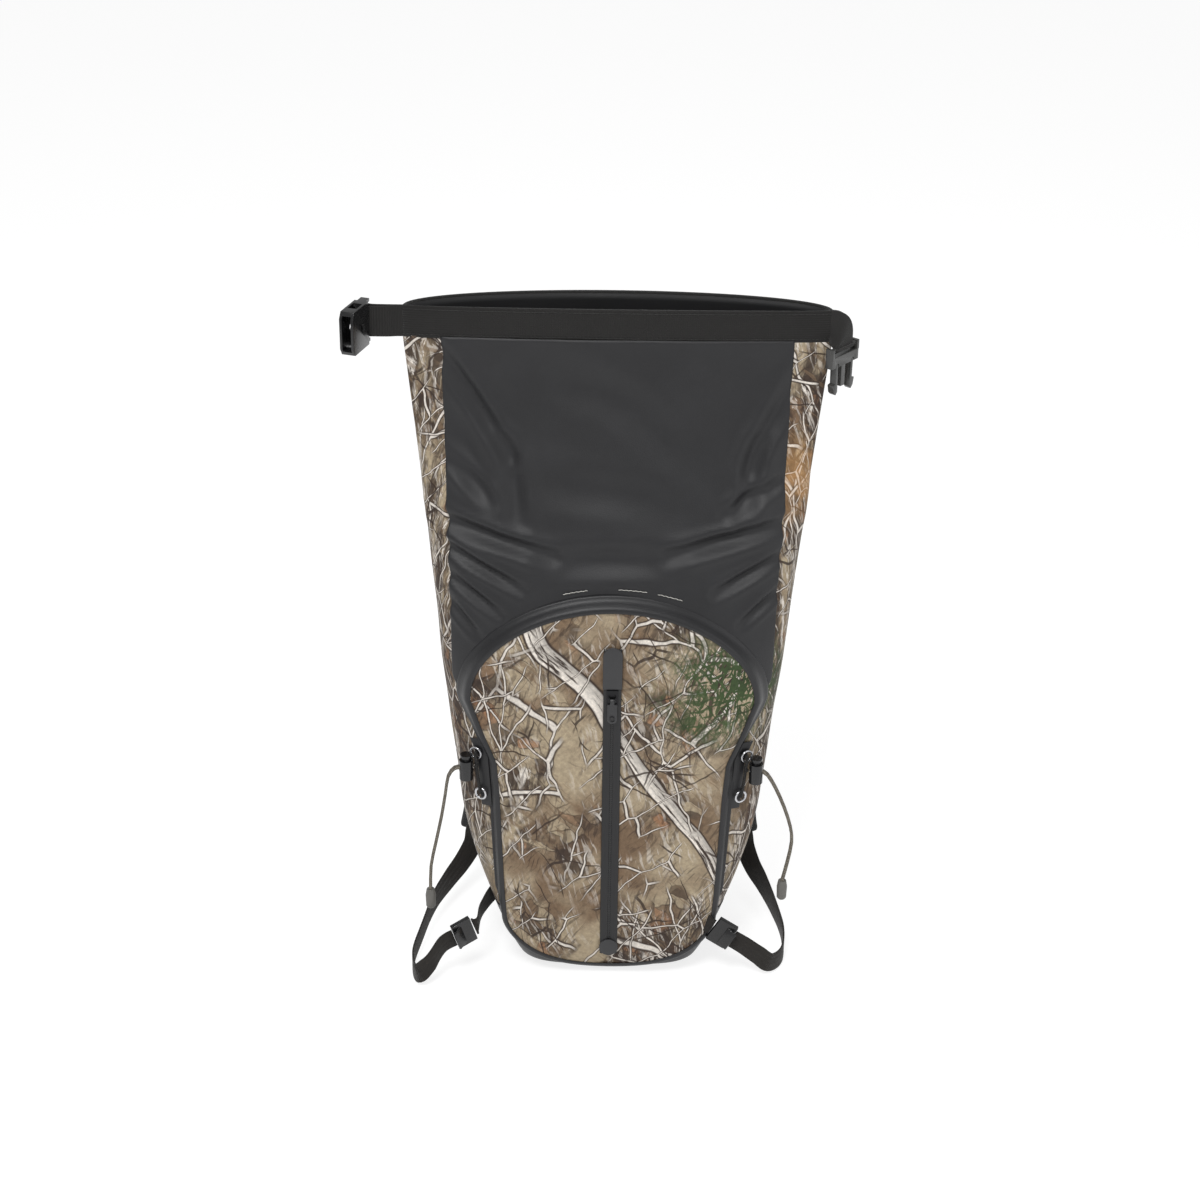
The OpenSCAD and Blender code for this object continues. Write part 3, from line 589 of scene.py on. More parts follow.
class Finish:
    """One material, made node by node."""

    def __init__(self, name, **shader):
        self.material = bpy.data.materials.new(name)
        self.material.use_nodes = True
        self.tree = self.material.node_tree
        self.shader = self.tree.nodes["Principled BSDF"]
        self.unrolled = None
        for socket, value in shader.items():
            self.set(socket.replace("_", " "), value)

    def set(self, socket, value):
        socket = self.shader.inputs[socket]
        if isinstance(value, Wire):
            self.tree.links.new(value.socket, socket)
        elif hasattr(value, "__len__") and len(value) == 3 and socket.type == "RGBA":
            socket.default_value = (*value, 1)
        else:
            socket.default_value = value

    def node(self, kind, settings=(), inputs=(), output=0):
        """Any other node: its settings first, then the values or wires of its sockets."""
        made = self.tree.nodes.new(kind)
        for key, value in dict(settings).items():
            setattr(made, key, value)
        for key, value in dict(inputs).items():
            if isinstance(value, Wire):
                self.tree.links.new(value.socket, made.inputs[key])
            elif hasattr(value, "__len__") and made.inputs[key].type == "RGBA":
                made.inputs[key].default_value = (*value[:3], 1)
            else:
                made.inputs[key].default_value = value
        return Wire(self.tree, made.outputs[output])

    def place(self, scale=(1, 1, 1), turn=(0, 0, 0), source="Object"):
        start = self.node("ShaderNodeTexCoord", output=source)
        return self.node("ShaderNodeMapping", inputs={"Vector": start, "Rotation": turn, "Scale": scale})

    def laid(self, turn, scale, bend, amount):
        """The cloth laid flat round the bag, pushed about, turned and scaled, for drawn-out patterns."""
        if self.unrolled is None:
            x, y, z = [self.axis(self.place(), which) for which in "XYZ"]
            side = (x * 20).least(1.0).most(-1.0)
            past_corner = (abs(x) - (z * 0.105 + 0.125)) * y.step(-0.01, 0.05) * -2.0
            round_bag = x + side * (past_corner + (y + 0.075) * 1.4) - 0.066
            self.unrolled = self.node("ShaderNodeCombineXYZ", inputs={0: round_bag, 1: z})
        bent = self.warped(self.unrolled, bend, amount)
        turned = self.node("ShaderNodeMapping", inputs={"Vector": bent, "Rotation": (0, 0, turn)})
        return self.node("ShaderNodeMapping", inputs={"Vector": turned, "Scale": scale})

    def axis(self, vector, which):
        return self.node("ShaderNodeSeparateXYZ", inputs={0: vector}, output=which)

    def noise(self, vector, scale, detail=2.0, rough=0.5, bend=0.0):
        return self.node("ShaderNodeTexNoise", inputs={
            "Vector": vector, "Scale": scale, "Detail": detail, "Roughness": rough, "Distortion": bend})

    def cells(self, vector, scale, feature="F1", output="Distance", random=1.0, flat="2D"):
        settings = {"feature": feature, "voronoi_dimensions": flat}
        inputs = {"Vector": vector, "Scale": scale, "Randomness": random}
        return self.node("ShaderNodeTexVoronoi", settings, inputs, output)

    def waves(self, vector, scale, bend=0.0):
        return self.node("ShaderNodeTexWave", {"bands_direction": "X"}, {
            "Vector": vector, "Scale": scale, "Distortion": bend, "Detail": 1.0}, "Fac")

    def blend(self, share, a, b):
        """Colour a where share is 0 and b where it is 1."""
        return self.node("ShaderNodeMix", {"data_type": "RGBA"}, {0: share, 6: a, 7: b}, 2)

    def tint(self, a, share, strength=1.0):
        """Colour a times a grey."""
        grey = self.node("ShaderNodeCombineColor", inputs={0: share, 1: share, 2: share})
        settings = {"data_type": "RGBA", "blend_type": "MULTIPLY"}
        return self.node("ShaderNodeMix", settings, {0: strength, 6: a, 7: grey}, 2)

    def near(self, vector, centre, radius):
        """1 at a place and 0 beyond a radius from it."""
        gap = self.node("ShaderNodeVectorMath", {"operation": "DISTANCE"}, {0: vector, 1: centre}, "Value")
        return 1 - gap.step(radius * 0.25, radius)

    def warped(self, vector, scale, amount):
        """The same coordinates pushed about by a soft noise."""
        inputs = {"Vector": vector, "Scale": scale, "Detail": 2.0}
        push = self.node("ShaderNodeTexNoise", inputs=inputs, output="Color")
        push = self.node("ShaderNodeVectorMath", {"operation": "SUBTRACT"}, {0: push, 1: (0.5, 0.5, 0.5)})
        push = self.node("ShaderNodeVectorMath", {"operation": "SCALE"}, {0: push, "Scale": amount})
        return self.node("ShaderNodeVectorMath", {"operation": "ADD"}, {0: vector, 1: push})

    def relief(self, height, distance, strength=1.0):
        """Ends a finish: bumps its surface and gives back the material."""
        inputs = {"Height": height, "Distance": distance, "Strength": strength}
        self.set("Normal", self.node("ShaderNodeBump", inputs=inputs))
        return self.material


def shade(tone, by):
    """A colour made darker or lighter."""
    return tuple(min(1, c * by) for c in tone)


def charcoal_cloth(name="charcoal_cloth", level=1.0, rough=0.5):
    """Coated cloth: a fine grain, faint rubs and a soft sheen."""
    f = Finish(name, Specular_IOR_Level=0.42, Sheen_Weight=0.06, Sheen_Roughness=0.5)
    p = f.place()
    rub = f.noise(p, 22, 4, 0.6)
    grain = f.noise(p, 900, 2, 0.6)
    base = shade(colours().charcoal, level)
    f.set("Base Color", f.blend(rub.step(0.35, 0.75), base, shade(base, 1.22)))
    f.set("Roughness", rough + rub * 0.14 - grain * 0.08)
    return f.relief(grain * 0.5 + f.noise(p, 120, 3) * 0.5, 0.0006, 0.5)


def woodland_cloth():
    """Coated cloth printed with a generic woodland: bark, leaf litter, limbs, twigs and a green sprig."""
    k = colours()
    f = Finish("woodland_cloth", Specular_IOR_Level=0.3)
    p = f.place()
    x, y, z = [f.axis(p, which) for which in "XYZ"]
    flank = z.step(0.385, 0.42).most(y.step(-0.064, -0.046))
    bent = f.warped(p, 12, 0.05)
    grain = f.laid(0.16, (75, 9, 1), 16, 0.012)
    streak = f.noise(grain, 1.0, 5, 0.72, 0.6)
    paint = f.blend(f.noise(bent, 8, 3, 0.6).step(0.36, 0.54), k.earth, k.khaki)
    paint = f.blend(f.noise(bent, 15, 4, 0.65, 0.4).step(0.56, 0.66) * 0.8, paint, k.bark)
    # leaf litter in two sizes, each leaf its own tone with a dark edge
    for turn, scale, low, high in ((0.5, 46, 0.53, 0.58), (-0.9, 80, 0.50, 0.56)):
        lie = f.laid(turn, (1, 0.6, 1), 50, 0.016)
        tone = f.axis(f.cells(lie, scale, output="Color"), "X")
        edge = f.cells(lie, scale, "DISTANCE_TO_EDGE")
        leaf = f.blend(tone.step(0.10, 0.4), k.bark, k.earth)
        leaf = f.blend(tone.step(0.40, 0.6), leaf, k.khaki)
        leaf = f.blend(tone.step(0.86, 0.90) * 0.8, leaf, k.rust)
        leaf = f.blend((1 - edge.step(0.01, 0.08)) * 0.8, leaf, k.bark)
        zone = f.noise(f.warped(p, 18, 0.04), 12, 2).step(low, high)
        paint = f.blend(zone * 0.75, paint, leaf)
    # bark: drawn-out dark and pale flakes, over the flanks and in patches of the pocket
    patch = f.noise(f.warped(p, 22, 0.03), 9, 3, 0.6).step(0.55, 0.62)
    barky = patch.most(flank * f.noise(bent, 5, 2).step(0.34, 0.46))
    paint = f.blend(barky * streak.step(0.40, 0.56) * 0.9, paint, k.bark)
    flake = f.noise(f.laid(-0.1, (52, 14, 1), 20, 0.014), 1.3, 5, 0.75, 0.8)
    paint = f.blend(barky * flake.step(0.55, 0.62) * 0.92, paint, k.twig)
    # dead grass: short strokes that lie several ways
    for turn, tone, share, spread in (
        (0.25, k.bark, 0.60, 13), (-0.3, k.twig, 0.42, 16),
        (0.75, k.bark, 0.5, 19), (-0.85, k.earth, 0.6, 11),
    ):
        strokes = f.noise(f.laid(turn, (1, 0.09, 1), 30, 0.012), 250, 2, 0.6).step(0.54, 0.61)
        paint = f.blend(strokes * f.noise(p, spread, 2).step(0.42, 0.56) * share, paint, tone)
    # a few limbs cross the whole bag, with long flakes of bark along them
    for turn, side, wide in (
        (0.92, 0.205, 0.0115), (-0.62, 0.105, 0.0085), (1.12, 0.36, 0.0065), (-1.15, -0.245, 0.0075),
    ):
        lie = f.laid(turn, (1, 1, 1), 7, 0.045)
        off = (f.axis(lie, "X") - side) / (wide * 0.55 + f.noise(p, 11, 2) * wide * 0.95)
        along = f.noise(f.laid(turn, (210, 18, 1), 7, 0.045), 1.0, 4, 0.7)
        wood = f.tint(k.twig, 0.12 + along * 1.35 - off * 0.36, 0.94)
        paint = f.blend(1 - abs(off).step(0.98, 1.22), paint, k.bark)
        paint = f.blend((1 - abs(off).step(0.78, 0.94)) * along.step(0.39, 0.48), paint, wood)
    # forked twigs, shown only here and there: a dark rim, then the pale wood of those that have a core
    for turn, scale, thin, rim, core in (
        (0.5, 13, 0.42, 0.0019, 0.0011), (-0.75, 17, 0.40, 0.0017, 0.0009), (1.2, 21, 0.36, 0.0008, 0),
        (0.1, 25, 0.45, 0.0014, 0.0007), (-1.3, 30, 0.40, 0.0007, 0), (0.9, 36, 0.38, 0.0011, 0.0005),
        (-0.4, 44, 0.40, 0.0006, 0),
    ):
        lie = f.laid(turn, (1, thin, 1), 24, 0.018)
        gap = f.cells(lie, scale, "DISTANCE_TO_EDGE") / scale
        if core:
            shown = f.noise(p, scale * 0.42 + 2, 2).step(0.47, 0.54)
        else:
            shown = f.noise(p, scale * 0.5, 2).step(0.52, 0.60)
        paint = f.blend((1 - gap.step(rim * 0.7, rim * 1.2)) * shown * 0.9, paint, k.bark)
        if core:
            wood = f.tint(k.twig, 0.52 + streak * 0.8, 0.85)
            paint = f.blend((1 - gap.step(core * 0.6, core * 1.15)) * shown, paint, wood)
    sprig = f.near(f.warped(p, 30, 0.07), (0.108, -0.066, 0.318), 0.082)
    shade = f.noise(p, 55, 2)
    for turn in (0.6, -0.7, 0.1, 1.3, 0.35):
        tone = k.bark if turn == 0.6 else k.needle
        needles = f.noise(f.laid(turn, (1, 0.11, 1), 40, 0.01), 330, 1)
        paint = f.blend(sprig * needles.step(0.55, 0.60), paint, f.tint(tone, 0.25 + shade * 1.4, 0.9))
    amber = f.near(p, (0.185, -0.01, 0.505), 0.07)
    paint = f.blend(amber * f.noise(bent, 30, 3).step(0.42, 0.62) * 0.5, paint, k.amber)
    speckle = f.noise(p, 260, 4, 0.75)
    paint = f.tint(paint, 0.30 + speckle * 1.18, 0.9)
    f.set("Base Color", paint)
    f.set("Roughness", 0.54 + speckle * 0.16)
    return f.relief(f.noise(p, 1100, 2) * 0.6 + speckle * 0.4, 0.0005, 0.45)


def woven(name, tone, rib=0.0011):
    """Webbing: ribs across and twisted yarn along, on the piece's own cloth map in metres."""
    f = Finish(name, Specular_IOR_Level=0.3, Sheen_Weight=0.12, Sheen_Roughness=0.45)
    spread = 0.35
    p = f.place(source="UV")
    u, v = f.axis(p, "X"), f.axis(p, "Y")
    ribs = (v * (2 * math.pi / rib)).sine() * 0.5 + 0.5
    yarn = (u * (2 * math.pi / (rib * 0.8)) + ribs * 2.2).sine() * 0.5 + 0.5
    cloth = ribs * 0.6 + yarn * 0.4
    worn = f.noise(f.place(), 60, 3)
    dark, light = shade(tone, 1 - spread), shade(tone, 1 + spread * 1.6)
    f.set("Base Color", f.blend(cloth * 0.7 + worn * 0.3, dark, light))
    f.set("Roughness", 0.72 + cloth * 0.1)
    return f.relief(cloth, 0.0004, 0.8)


def braided(name, tone):
    """Elastic cord: a crossing braid, light and dark flecks."""
    f = Finish(name, Specular_IOR_Level=0.3)
    p = f.place()
    left, right = [f.waves(f.place(turn=(0, lean, 0)), 190, 0.5) for lean in (0.8, -0.8)]
    fleck = f.noise(p, 700, 1)
    braid = left * right + fleck.step(0.45, 0.6) * 0.5
    f.set("Base Color", f.blend(braid, shade(tone, 0.45), shade(tone, 1.35)))
    f.set("Roughness", 0.7 + fleck * 0.1)
    return f.relief(left * right, 0.0003, 0.7)


def plastic(name, tone, rough):
    """Moulded plastic: a faint flow in its gloss and small scuffs."""
    f = Finish(name, Specular_IOR_Level=0.55)
    p = f.place()
    flow = f.noise(p, 90, 3)
    scuff = f.noise(f.place((400, 60, 400), (0.3, 0.2, 0.5)), 1, 3, 0.7).step(0.62, 0.75)
    f.set("Base Color", f.blend(flow, shade(tone, 0.85), shade(tone, 1.2)))
    f.set("Roughness", rough + flow * 0.1 + scuff * 0.18)
    return f.relief(f.noise(p, 700, 2), 0.0001, 0.4)


def metal(name, tone, rough, metallic=1.0):
    """Cast or drawn metal with a little wear."""
    f = Finish(name, Metallic=metallic)
    p = f.place()
    wear = f.noise(p, 300, 3)
    f.set("Base Color", f.blend(wear, shade(tone, 0.8), tone))
    f.set("Roughness", rough + wear * 0.2)
    return f.relief(wear, 0.0001, 0.3)


def mesh_padding(name, tone):
    """Spacer mesh over foam: small open cells."""
    f = Finish(name, Specular_IOR_Level=0.25, Sheen_Weight=0.15)
    p = f.place()
    cell = f.cells(p, 420, random=0.35, flat="3D")
    soft = f.noise(p, 40, 3)
    hole = cell.step(0.15, 0.5)
    f.set("Base Color", f.blend(hole * 0.8 + soft * 0.2, shade(tone, 0.45), shade(tone, 1.4)))
    f.set("Roughness", 0.8 + soft * 0.1)
    return f.relief(hole, 0.0006, 0.8)


FINISHES = {}


def finish(name):
    """Each finish is made once, when a piece first needs it."""
    if name not in FINISHES:
        k = colours()
        web, hard = tuple(k.webbing), tuple(k.moulding)
        makers = {
            "charcoal": charcoal_cloth,
            "lining": lambda: charcoal_cloth("lining_with_painted_shade", 0.42, 0.62),
            # the lining: the charcoal taken down to 0.42 of itself, painted shade of the bag's dim inside
            "edging": lambda: charcoal_cloth("charcoal_edging", 0.92, 0.42),
            "woodland": woodland_cloth,
            "webbing": lambda: woven("black_webbing", web),
            "collar": lambda: woven("collar_webbing", shade(web, 0.78), 0.0014),
            "loop_webbing": lambda: woven("strap_webbing", srgb(36, 33, 30), 0.0013),
            "bungee": lambda: braided("loose_bungee", tuple(k.bungee)),
            "lace": lambda: braided("dark_bungee", srgb(44, 43, 42)),
            "moulding": lambda: plastic("glossy_moulding", hard, 0.2),
            # the plug's moulding: the same dark glossy plastic lightened to grey, a painted reflection of
            # light off its flat face
            "painted_reflection_moulding": lambda: plastic("painted_reflection_moulding", srgb(58, 58, 57), 0.2),
            "rubber": lambda: plastic("soft_moulding", srgb(42, 42, 44), 0.38),
            "tip": lambda: plastic("cord_tip", srgb(98, 96, 92), 0.5),
            "coil": lambda: plastic("zip_coil_nylon", srgb(30, 30, 31), 0.4),
            "tape": lambda: charcoal_cloth("zip_tape_film", 0.5, 0.36),
            "slider": lambda: metal("black_casting", srgb(40, 40, 42), 0.3, 0.7),
            "ring": lambda: metal("bright_ring", srgb(205, 205, 208), 0.16),
            "spring": lambda: metal("spring_wire", srgb(160, 160, 165), 0.3),
            "padding": lambda: mesh_padding("spacer_mesh", srgb(40, 40, 41)),
            "grey_thread": lambda: plastic("grey_thread", srgb(88, 87, 85), 0.6),
            "dark_thread": lambda: plastic("dark_thread", srgb(30, 29, 28), 0.55),
            "thread": lambda: plastic("sewing_thread", srgb(196, 194, 188), 0.6),
        }
        FINISHES[name] = makers[name]()
    return FINISHES[name]


def dress(node, name):
    """Gives a part of the frame that stays in view its finish."""
    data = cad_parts[node].data
    data.materials.clear()
    data.materials.append(finish(name))


# ---------------------------------------------------------------- the operators


class Maker:
    """What each of the backpack's operators shares."""

    bl_options = {"REGISTER", "UNDO"}

    def execute(self, context):
        self.make(Body())
        return {"FINISHED"}


class BACKPACK_OT_stage(Maker, bpy.types.Operator):
    """Makes the floor, the soft lamps and the camera"""

    bl_idname = "backpack.stage"
    bl_label = "Stage and camera"

    def make(self, body):
        scene = bpy.context.scene
        scene.view_settings.view_transform = "Standard"
        eye = bpy.data.cameras.new("studio_camera")
        eye.lens, eye.sensor_width = 75, 36
        eye.clip_end = 50
        camera = bpy.data.objects.new("studio_camera", eye)
        scene.collection.objects.link(camera)
        rise, far, roll = math.radians(27), 2.335, math.radians(-0.75)
        aim = Vector((-0.0125, 0, 0.3722))
        back = Vector((0, -math.cos(rise), math.sin(rise)))
        camera.location = aim + back * far
        camera.rotation_mode = "QUATERNION"
        level = (-back).to_track_quat("-Z", "Y").to_matrix()
        camera.rotation_quaternion = (Matrix.Rotation(roll, 3, -back) @ level).to_quaternion()
        scene.camera = camera

        bm = bmesh.new()
        bmesh.ops.create_grid(bm, x_segments=12, y_segments=12, size=5)
        floor = bag_object("floor", bm, self.floor_finish())
        floor.location.z = -0.0006

        world = bpy.data.worlds.new("studio")
        scene.world = world
        world.use_nodes = True
        tree = world.node_tree
        plain = tree.nodes["Background"]
        plain.inputs[0].default_value = (1, 1, 1, 1)
        plain.inputs[1].default_value = 0.45
        white = tree.nodes.new("ShaderNodeBackground")
        white.inputs[0].default_value = (1, 1, 1, 1)
        path = tree.nodes.new("ShaderNodeLightPath")
        seen = Wire(tree, path.outputs["Is Camera Ray"]).most(Wire(tree, path.outputs["Is Transmission Ray"]))
        mix = tree.nodes.new("ShaderNodeMixShader")
        tree.links.new(seen.socket, mix.inputs[0])
        tree.links.new(plain.outputs[0], mix.inputs[1])
        tree.links.new(white.outputs[0], mix.inputs[2])
        tree.links.new(mix.outputs[0], tree.nodes["World Output"].inputs[0])

        self.lamp("key", (-0.5, -1.5, 2.6), 0.9, 42)
        self.lamp("fill", (1.9, -1.7, 1.0), 1.4, 9)
        self.lamp("top", (0.2, 0.7, 2.6), 1.4, 12)

    def lamp(self, name, place, wide, power):
        data = bpy.data.lights.new(name, "AREA")
        data.shape, data.size, data.energy = "DISK", wide, power
        obj = bpy.data.objects.new(name, data)
        bpy.context.scene.collection.objects.link(obj)
        obj.location = place
        obj.rotation_mode = "QUATERNION"
        obj.rotation_quaternion = (Vector((0, 0, 0.3)) - Vector(place)).to_track_quat("-Z", "Y")

    def floor_finish(self):
        """A pale floor that looks lit to the camera and in reflections."""
        f = Finish("pale_floor", Roughness=0.9, Specular_IOR_Level=0.1)
        speck = f.noise(f.place(), 60, 2)
        f.set("Base Color", f.blend(speck, (0.94, 0.94, 0.94), (0.96, 0.96, 0.96)))
        path = f.tree.nodes.new("ShaderNodeLightPath")
        seen = Wire(f.tree, path.outputs["Is Camera Ray"]).most(Wire(f.tree, path.outputs["Is Glossy Ray"]))
        seen = seen.most(Wire(f.tree, path.outputs["Is Transmission Ray"]))
        white = f.node("ShaderNodeEmission", inputs={"Color": (1, 1, 1), "Strength": 1.25})
        mix = f.tree.nodes.new("ShaderNodeMixShader")
        f.tree.links.new((seen * 0.62).socket, mix.inputs[0])
        f.tree.links.new(f.shader.outputs[0], mix.inputs[1])
        f.tree.links.new(white.socket, mix.inputs[2])
        f.tree.links.new(mix.outputs[0], f.tree.nodes["Material Output"].inputs[0])
        return f.material


TAILS = {
    "left": ((-0.1413, 0.226), (-0.147, 0.225), (-0.153, 0.216), (-0.156, 0.197),
             (-0.160, 0.172), (-0.166, 0.142), (-0.171, 0.116), (-0.172, 0.090)),
    "right": ((0.1413, 0.226), (0.147, 0.222), (0.155, 0.208), (0.164, 0.187),
              (0.171, 0.165), (0.173, 0.148), (0.170, 0.126), (0.166, 0.105)),
}
CORD = 0.003
FEED_HEIGHT = 0.012


class BACKPACK_OT_cords(Maker, bpy.types.Operator):
    """Makes the four loose bungee tails and their moulded tips"""

    bl_idname = "backpack.cords"
    bl_label = "Bungee cords"

    def make(self, body):
        for side, sign in SIDES:
            low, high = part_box(f"{side}_lock_barrel")
            depth = (low[1] + high[1]) / 2
            tip = moulded(f"{side}_cord_end", f"{side}_cord_tip", "tip", "bag", "soft_plastic", 0.0006)
            outer = low[0] if sign < 0 else high[0]
            start = (sign * (abs(outer) - 0.0012), low[2] + FEED_HEIGHT)
            spots = (start,) + TAILS[side][1:]
            for letter, shift in (("a", -1), ("b", 1)):
                y = depth + shift * (CORD / 2 + 0.00015)
                run = smooth_route([(x, y, z) for x, z in spots], 2)
                cord = round_run(run, CORD / 2, f"{side}_bungee_{letter}", finish("bungee"))
                settle(cord, "bag", "bungee_grey", f"{side}_tail_{letter}")
                round(length_of(run), 4)


class BACKPACK_OT_walls(Maker, bpy.types.Operator):
    """Makes the front, back, side gussets, lining and boot of the bag"""

    bl_idname = "backpack.walls"
    bl_label = "Cloth walls"

    def make(self, body):
        low, high = body.boot - 0.004, body.rim_low + 0.002
        over = 1.2

        def wall(name, look, grid, start, end, lift, cloth, facing):
            def place(u, v):
                z = lerp(low, high, v)
                return body.cloth(lerp(start(z), end(z), u), z, lift)
            return sheet(name, look, grid, place, cloth, facing, CLOTH)

        def front_seam(z):
            return body.seam(z)

        def back_seam(z):
            return body.seam(z, False)

        front = wall("front_cloth", "charcoal", (110, 190), lambda z: 180 + front_seam(z) - over,
                     lambda z: 360 - front_seam(z) + over, 0.0007, (0.33, 0.57), FORWARD)
        back = wall("back_cloth", "charcoal", (90, 120), lambda z: back_seam(z) - over,
                    lambda z: 180 - back_seam(z) + over, 0.0007, (0.33, 0.57), BACKWARD)
        left = wall("left_gusset_cloth", "woodland", (60, 170), lambda z: 180 - back_seam(z),
                    lambda z: 180 + front_seam(z), 0.0, (0.12, 0.57), Vector((-1, 0, 0)))
        right = wall("right_gusset_cloth", "woodland", (60, 170), lambda z: -front_seam(z),
                     back_seam, 0.0, (0.12, 0.57), Vector((1, 0, 0)))

        def inner(u, v):
            z = lerp(0.002, body.rim_low + 0.028, v)
            return body.cloth(360 * u, z, -0.0016 - 0.0035 * ease((z - body.rim_low + 0.004) / 0.006))

        # the lining's finish, far darker than the outer cloth, paints the shade inside the bag
        lining = sheet("lining_with_painted_shade", "lining", (120, 110), inner, (1, 0.6), None, 0.0003)
        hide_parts("front_wall", "throat")
        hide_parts("back_wall")
        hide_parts("left_gusset")
        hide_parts("right_gusset")
        for piece in (front, back, left, right, lining):
            "camo" if piece in (left, right) else "coated_charcoal"
            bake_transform(piece)

        floor, under = 0.0004, 0.3

        def boot(u, v):
            if v < under:
                share = v / under
                edge = body.point(360 * u, 0.0)
                return Vector((edge.x * share, edge.y * share, floor))
            z = lerp(floor, body.boot, ((v - under) / (1 - under)) ** 1.5)
            return body.point(360 * u, z, 0.0010 * ease(z / 0.004) * (1 - 0.3 * ease((z - 0.05) / 0.01)))

        foot = sheet("charcoal_boot", "edging", (120, 60), boot, (0.7, 0.1), None, 0.0010)
        settle(foot, "bag", "coated_charcoal", "base_boot")


class BACKPACK_OT_pouch(Maker, bpy.types.Operator):
    """Makes the arched front pocket, its rolled edging and its stitching"""

    bl_idname = "backpack.pouch"
    bl_label = "Front pocket"

    def make(self, body):
        self.panel(body)
        self.stitching(body)
        self.edging(body)

    def panel(self, body):
        edge = body.pouch_edge(140)

        def place(u, v):
            p = between(edge, v)
            across = u * 2 - 1
            x, z = p.x * across, p.y
            under_zip = 1 - ease((abs(x) - 0.005) / 0.006)
            rim = (1 - abs(across) ** 8) * (1 - under_zip)
            swell = 0.0008 * noise.noise(Vector((x * 14, 4, z * 14)))
            swell += 0.0004 * noise.noise(Vector((x * 45, 9, z * 38)))
            return body.face(x, z, body.pouch_depth + swell * rim - 0.0012 * under_zip)

        front = sheet("pocket_cloth", "woodland", (64, 139), place, (0.268, 0.39), FORWARD, CLOTH)
        settle(front, "bag", "camo", "pocket_panel")

    def stitching(self, body):
        """Three short rows of stitches over the pocket's arch."""
        def above(x):
            rise = body.pouch_top + 0.0165 - body.shoulder
            z = body.shoulder + rise * math.sqrt(1 - (x / (body.pouch + 0.02)) ** 2)
            return body.face(x, z, 0.0016 + max(0.0, body.soft(body.face(x, z))))

        for i, (start, end) in enumerate(((-0.046, -0.024), (0.004, 0.030), (0.040, 0.062))):
            line = [above(lerp(start, end, k / 12)) for k in range(13)]
            stitched(f"arch_stitch_{i + 1}", line, FORWARD, "bag", 0.0046, 0.0003, "thread",
                     "coated_charcoal")

    def edging(self, body):
        """The rolled edging: a low ridge on the pocket's rim that runs down onto the front."""
        lift = body.pouch_depth
        edge = body.pouch_edge(140)
        loop = edge + [Vector((-p.x, p.y)) for p in reversed(edge)]
        loop = [p for i, p in enumerate(loop) if (p - loop[i - 1]).length > 1e-5]
        count = len(loop)
        # how far outside the pocket's edge, and how far off the front
        profile = [Vector(p) for p in (
            (-0.0028, lift + 0.0006), (-0.0022, lift + 0.0013), (0.0, lift + 0.0017),
            (0.0022, lift + 0.0012), (0.0044, lift - 0.0012), (0.0062, lift * 0.45),
            (0.0082, 0.0022), (0.0104, 0.0016), (0.0110, 0.0006))]

        def out_way(i):
            d = (loop[(i + 1) % count] - loop[i - 1]).normalized()
            return Vector((d.y, -d.x))

        def place(u, v):
            i = round(v * count) % count
            off, rise = between(profile, u)
            narrow = lerp(1.0, 0.42, ease((0.30 - loop[i].y) / 0.05)) if off > 0.003 else 1
            p = loop[i] + out_way(i) * off * narrow
            soft = body.soft(body.face(p.x, p.y)) if rise < 0.004 else 0
            return body.face(p.x, max(p.y, 0.001), rise + max(soft, 0) * 0.5)

        rim = sheet("pocket_edging", "edging", (16, count), place, (0.015, 1.2), FORWARD, 0.0007)
        settle(rim, "bag", "coated_charcoal", "pocket_binding")


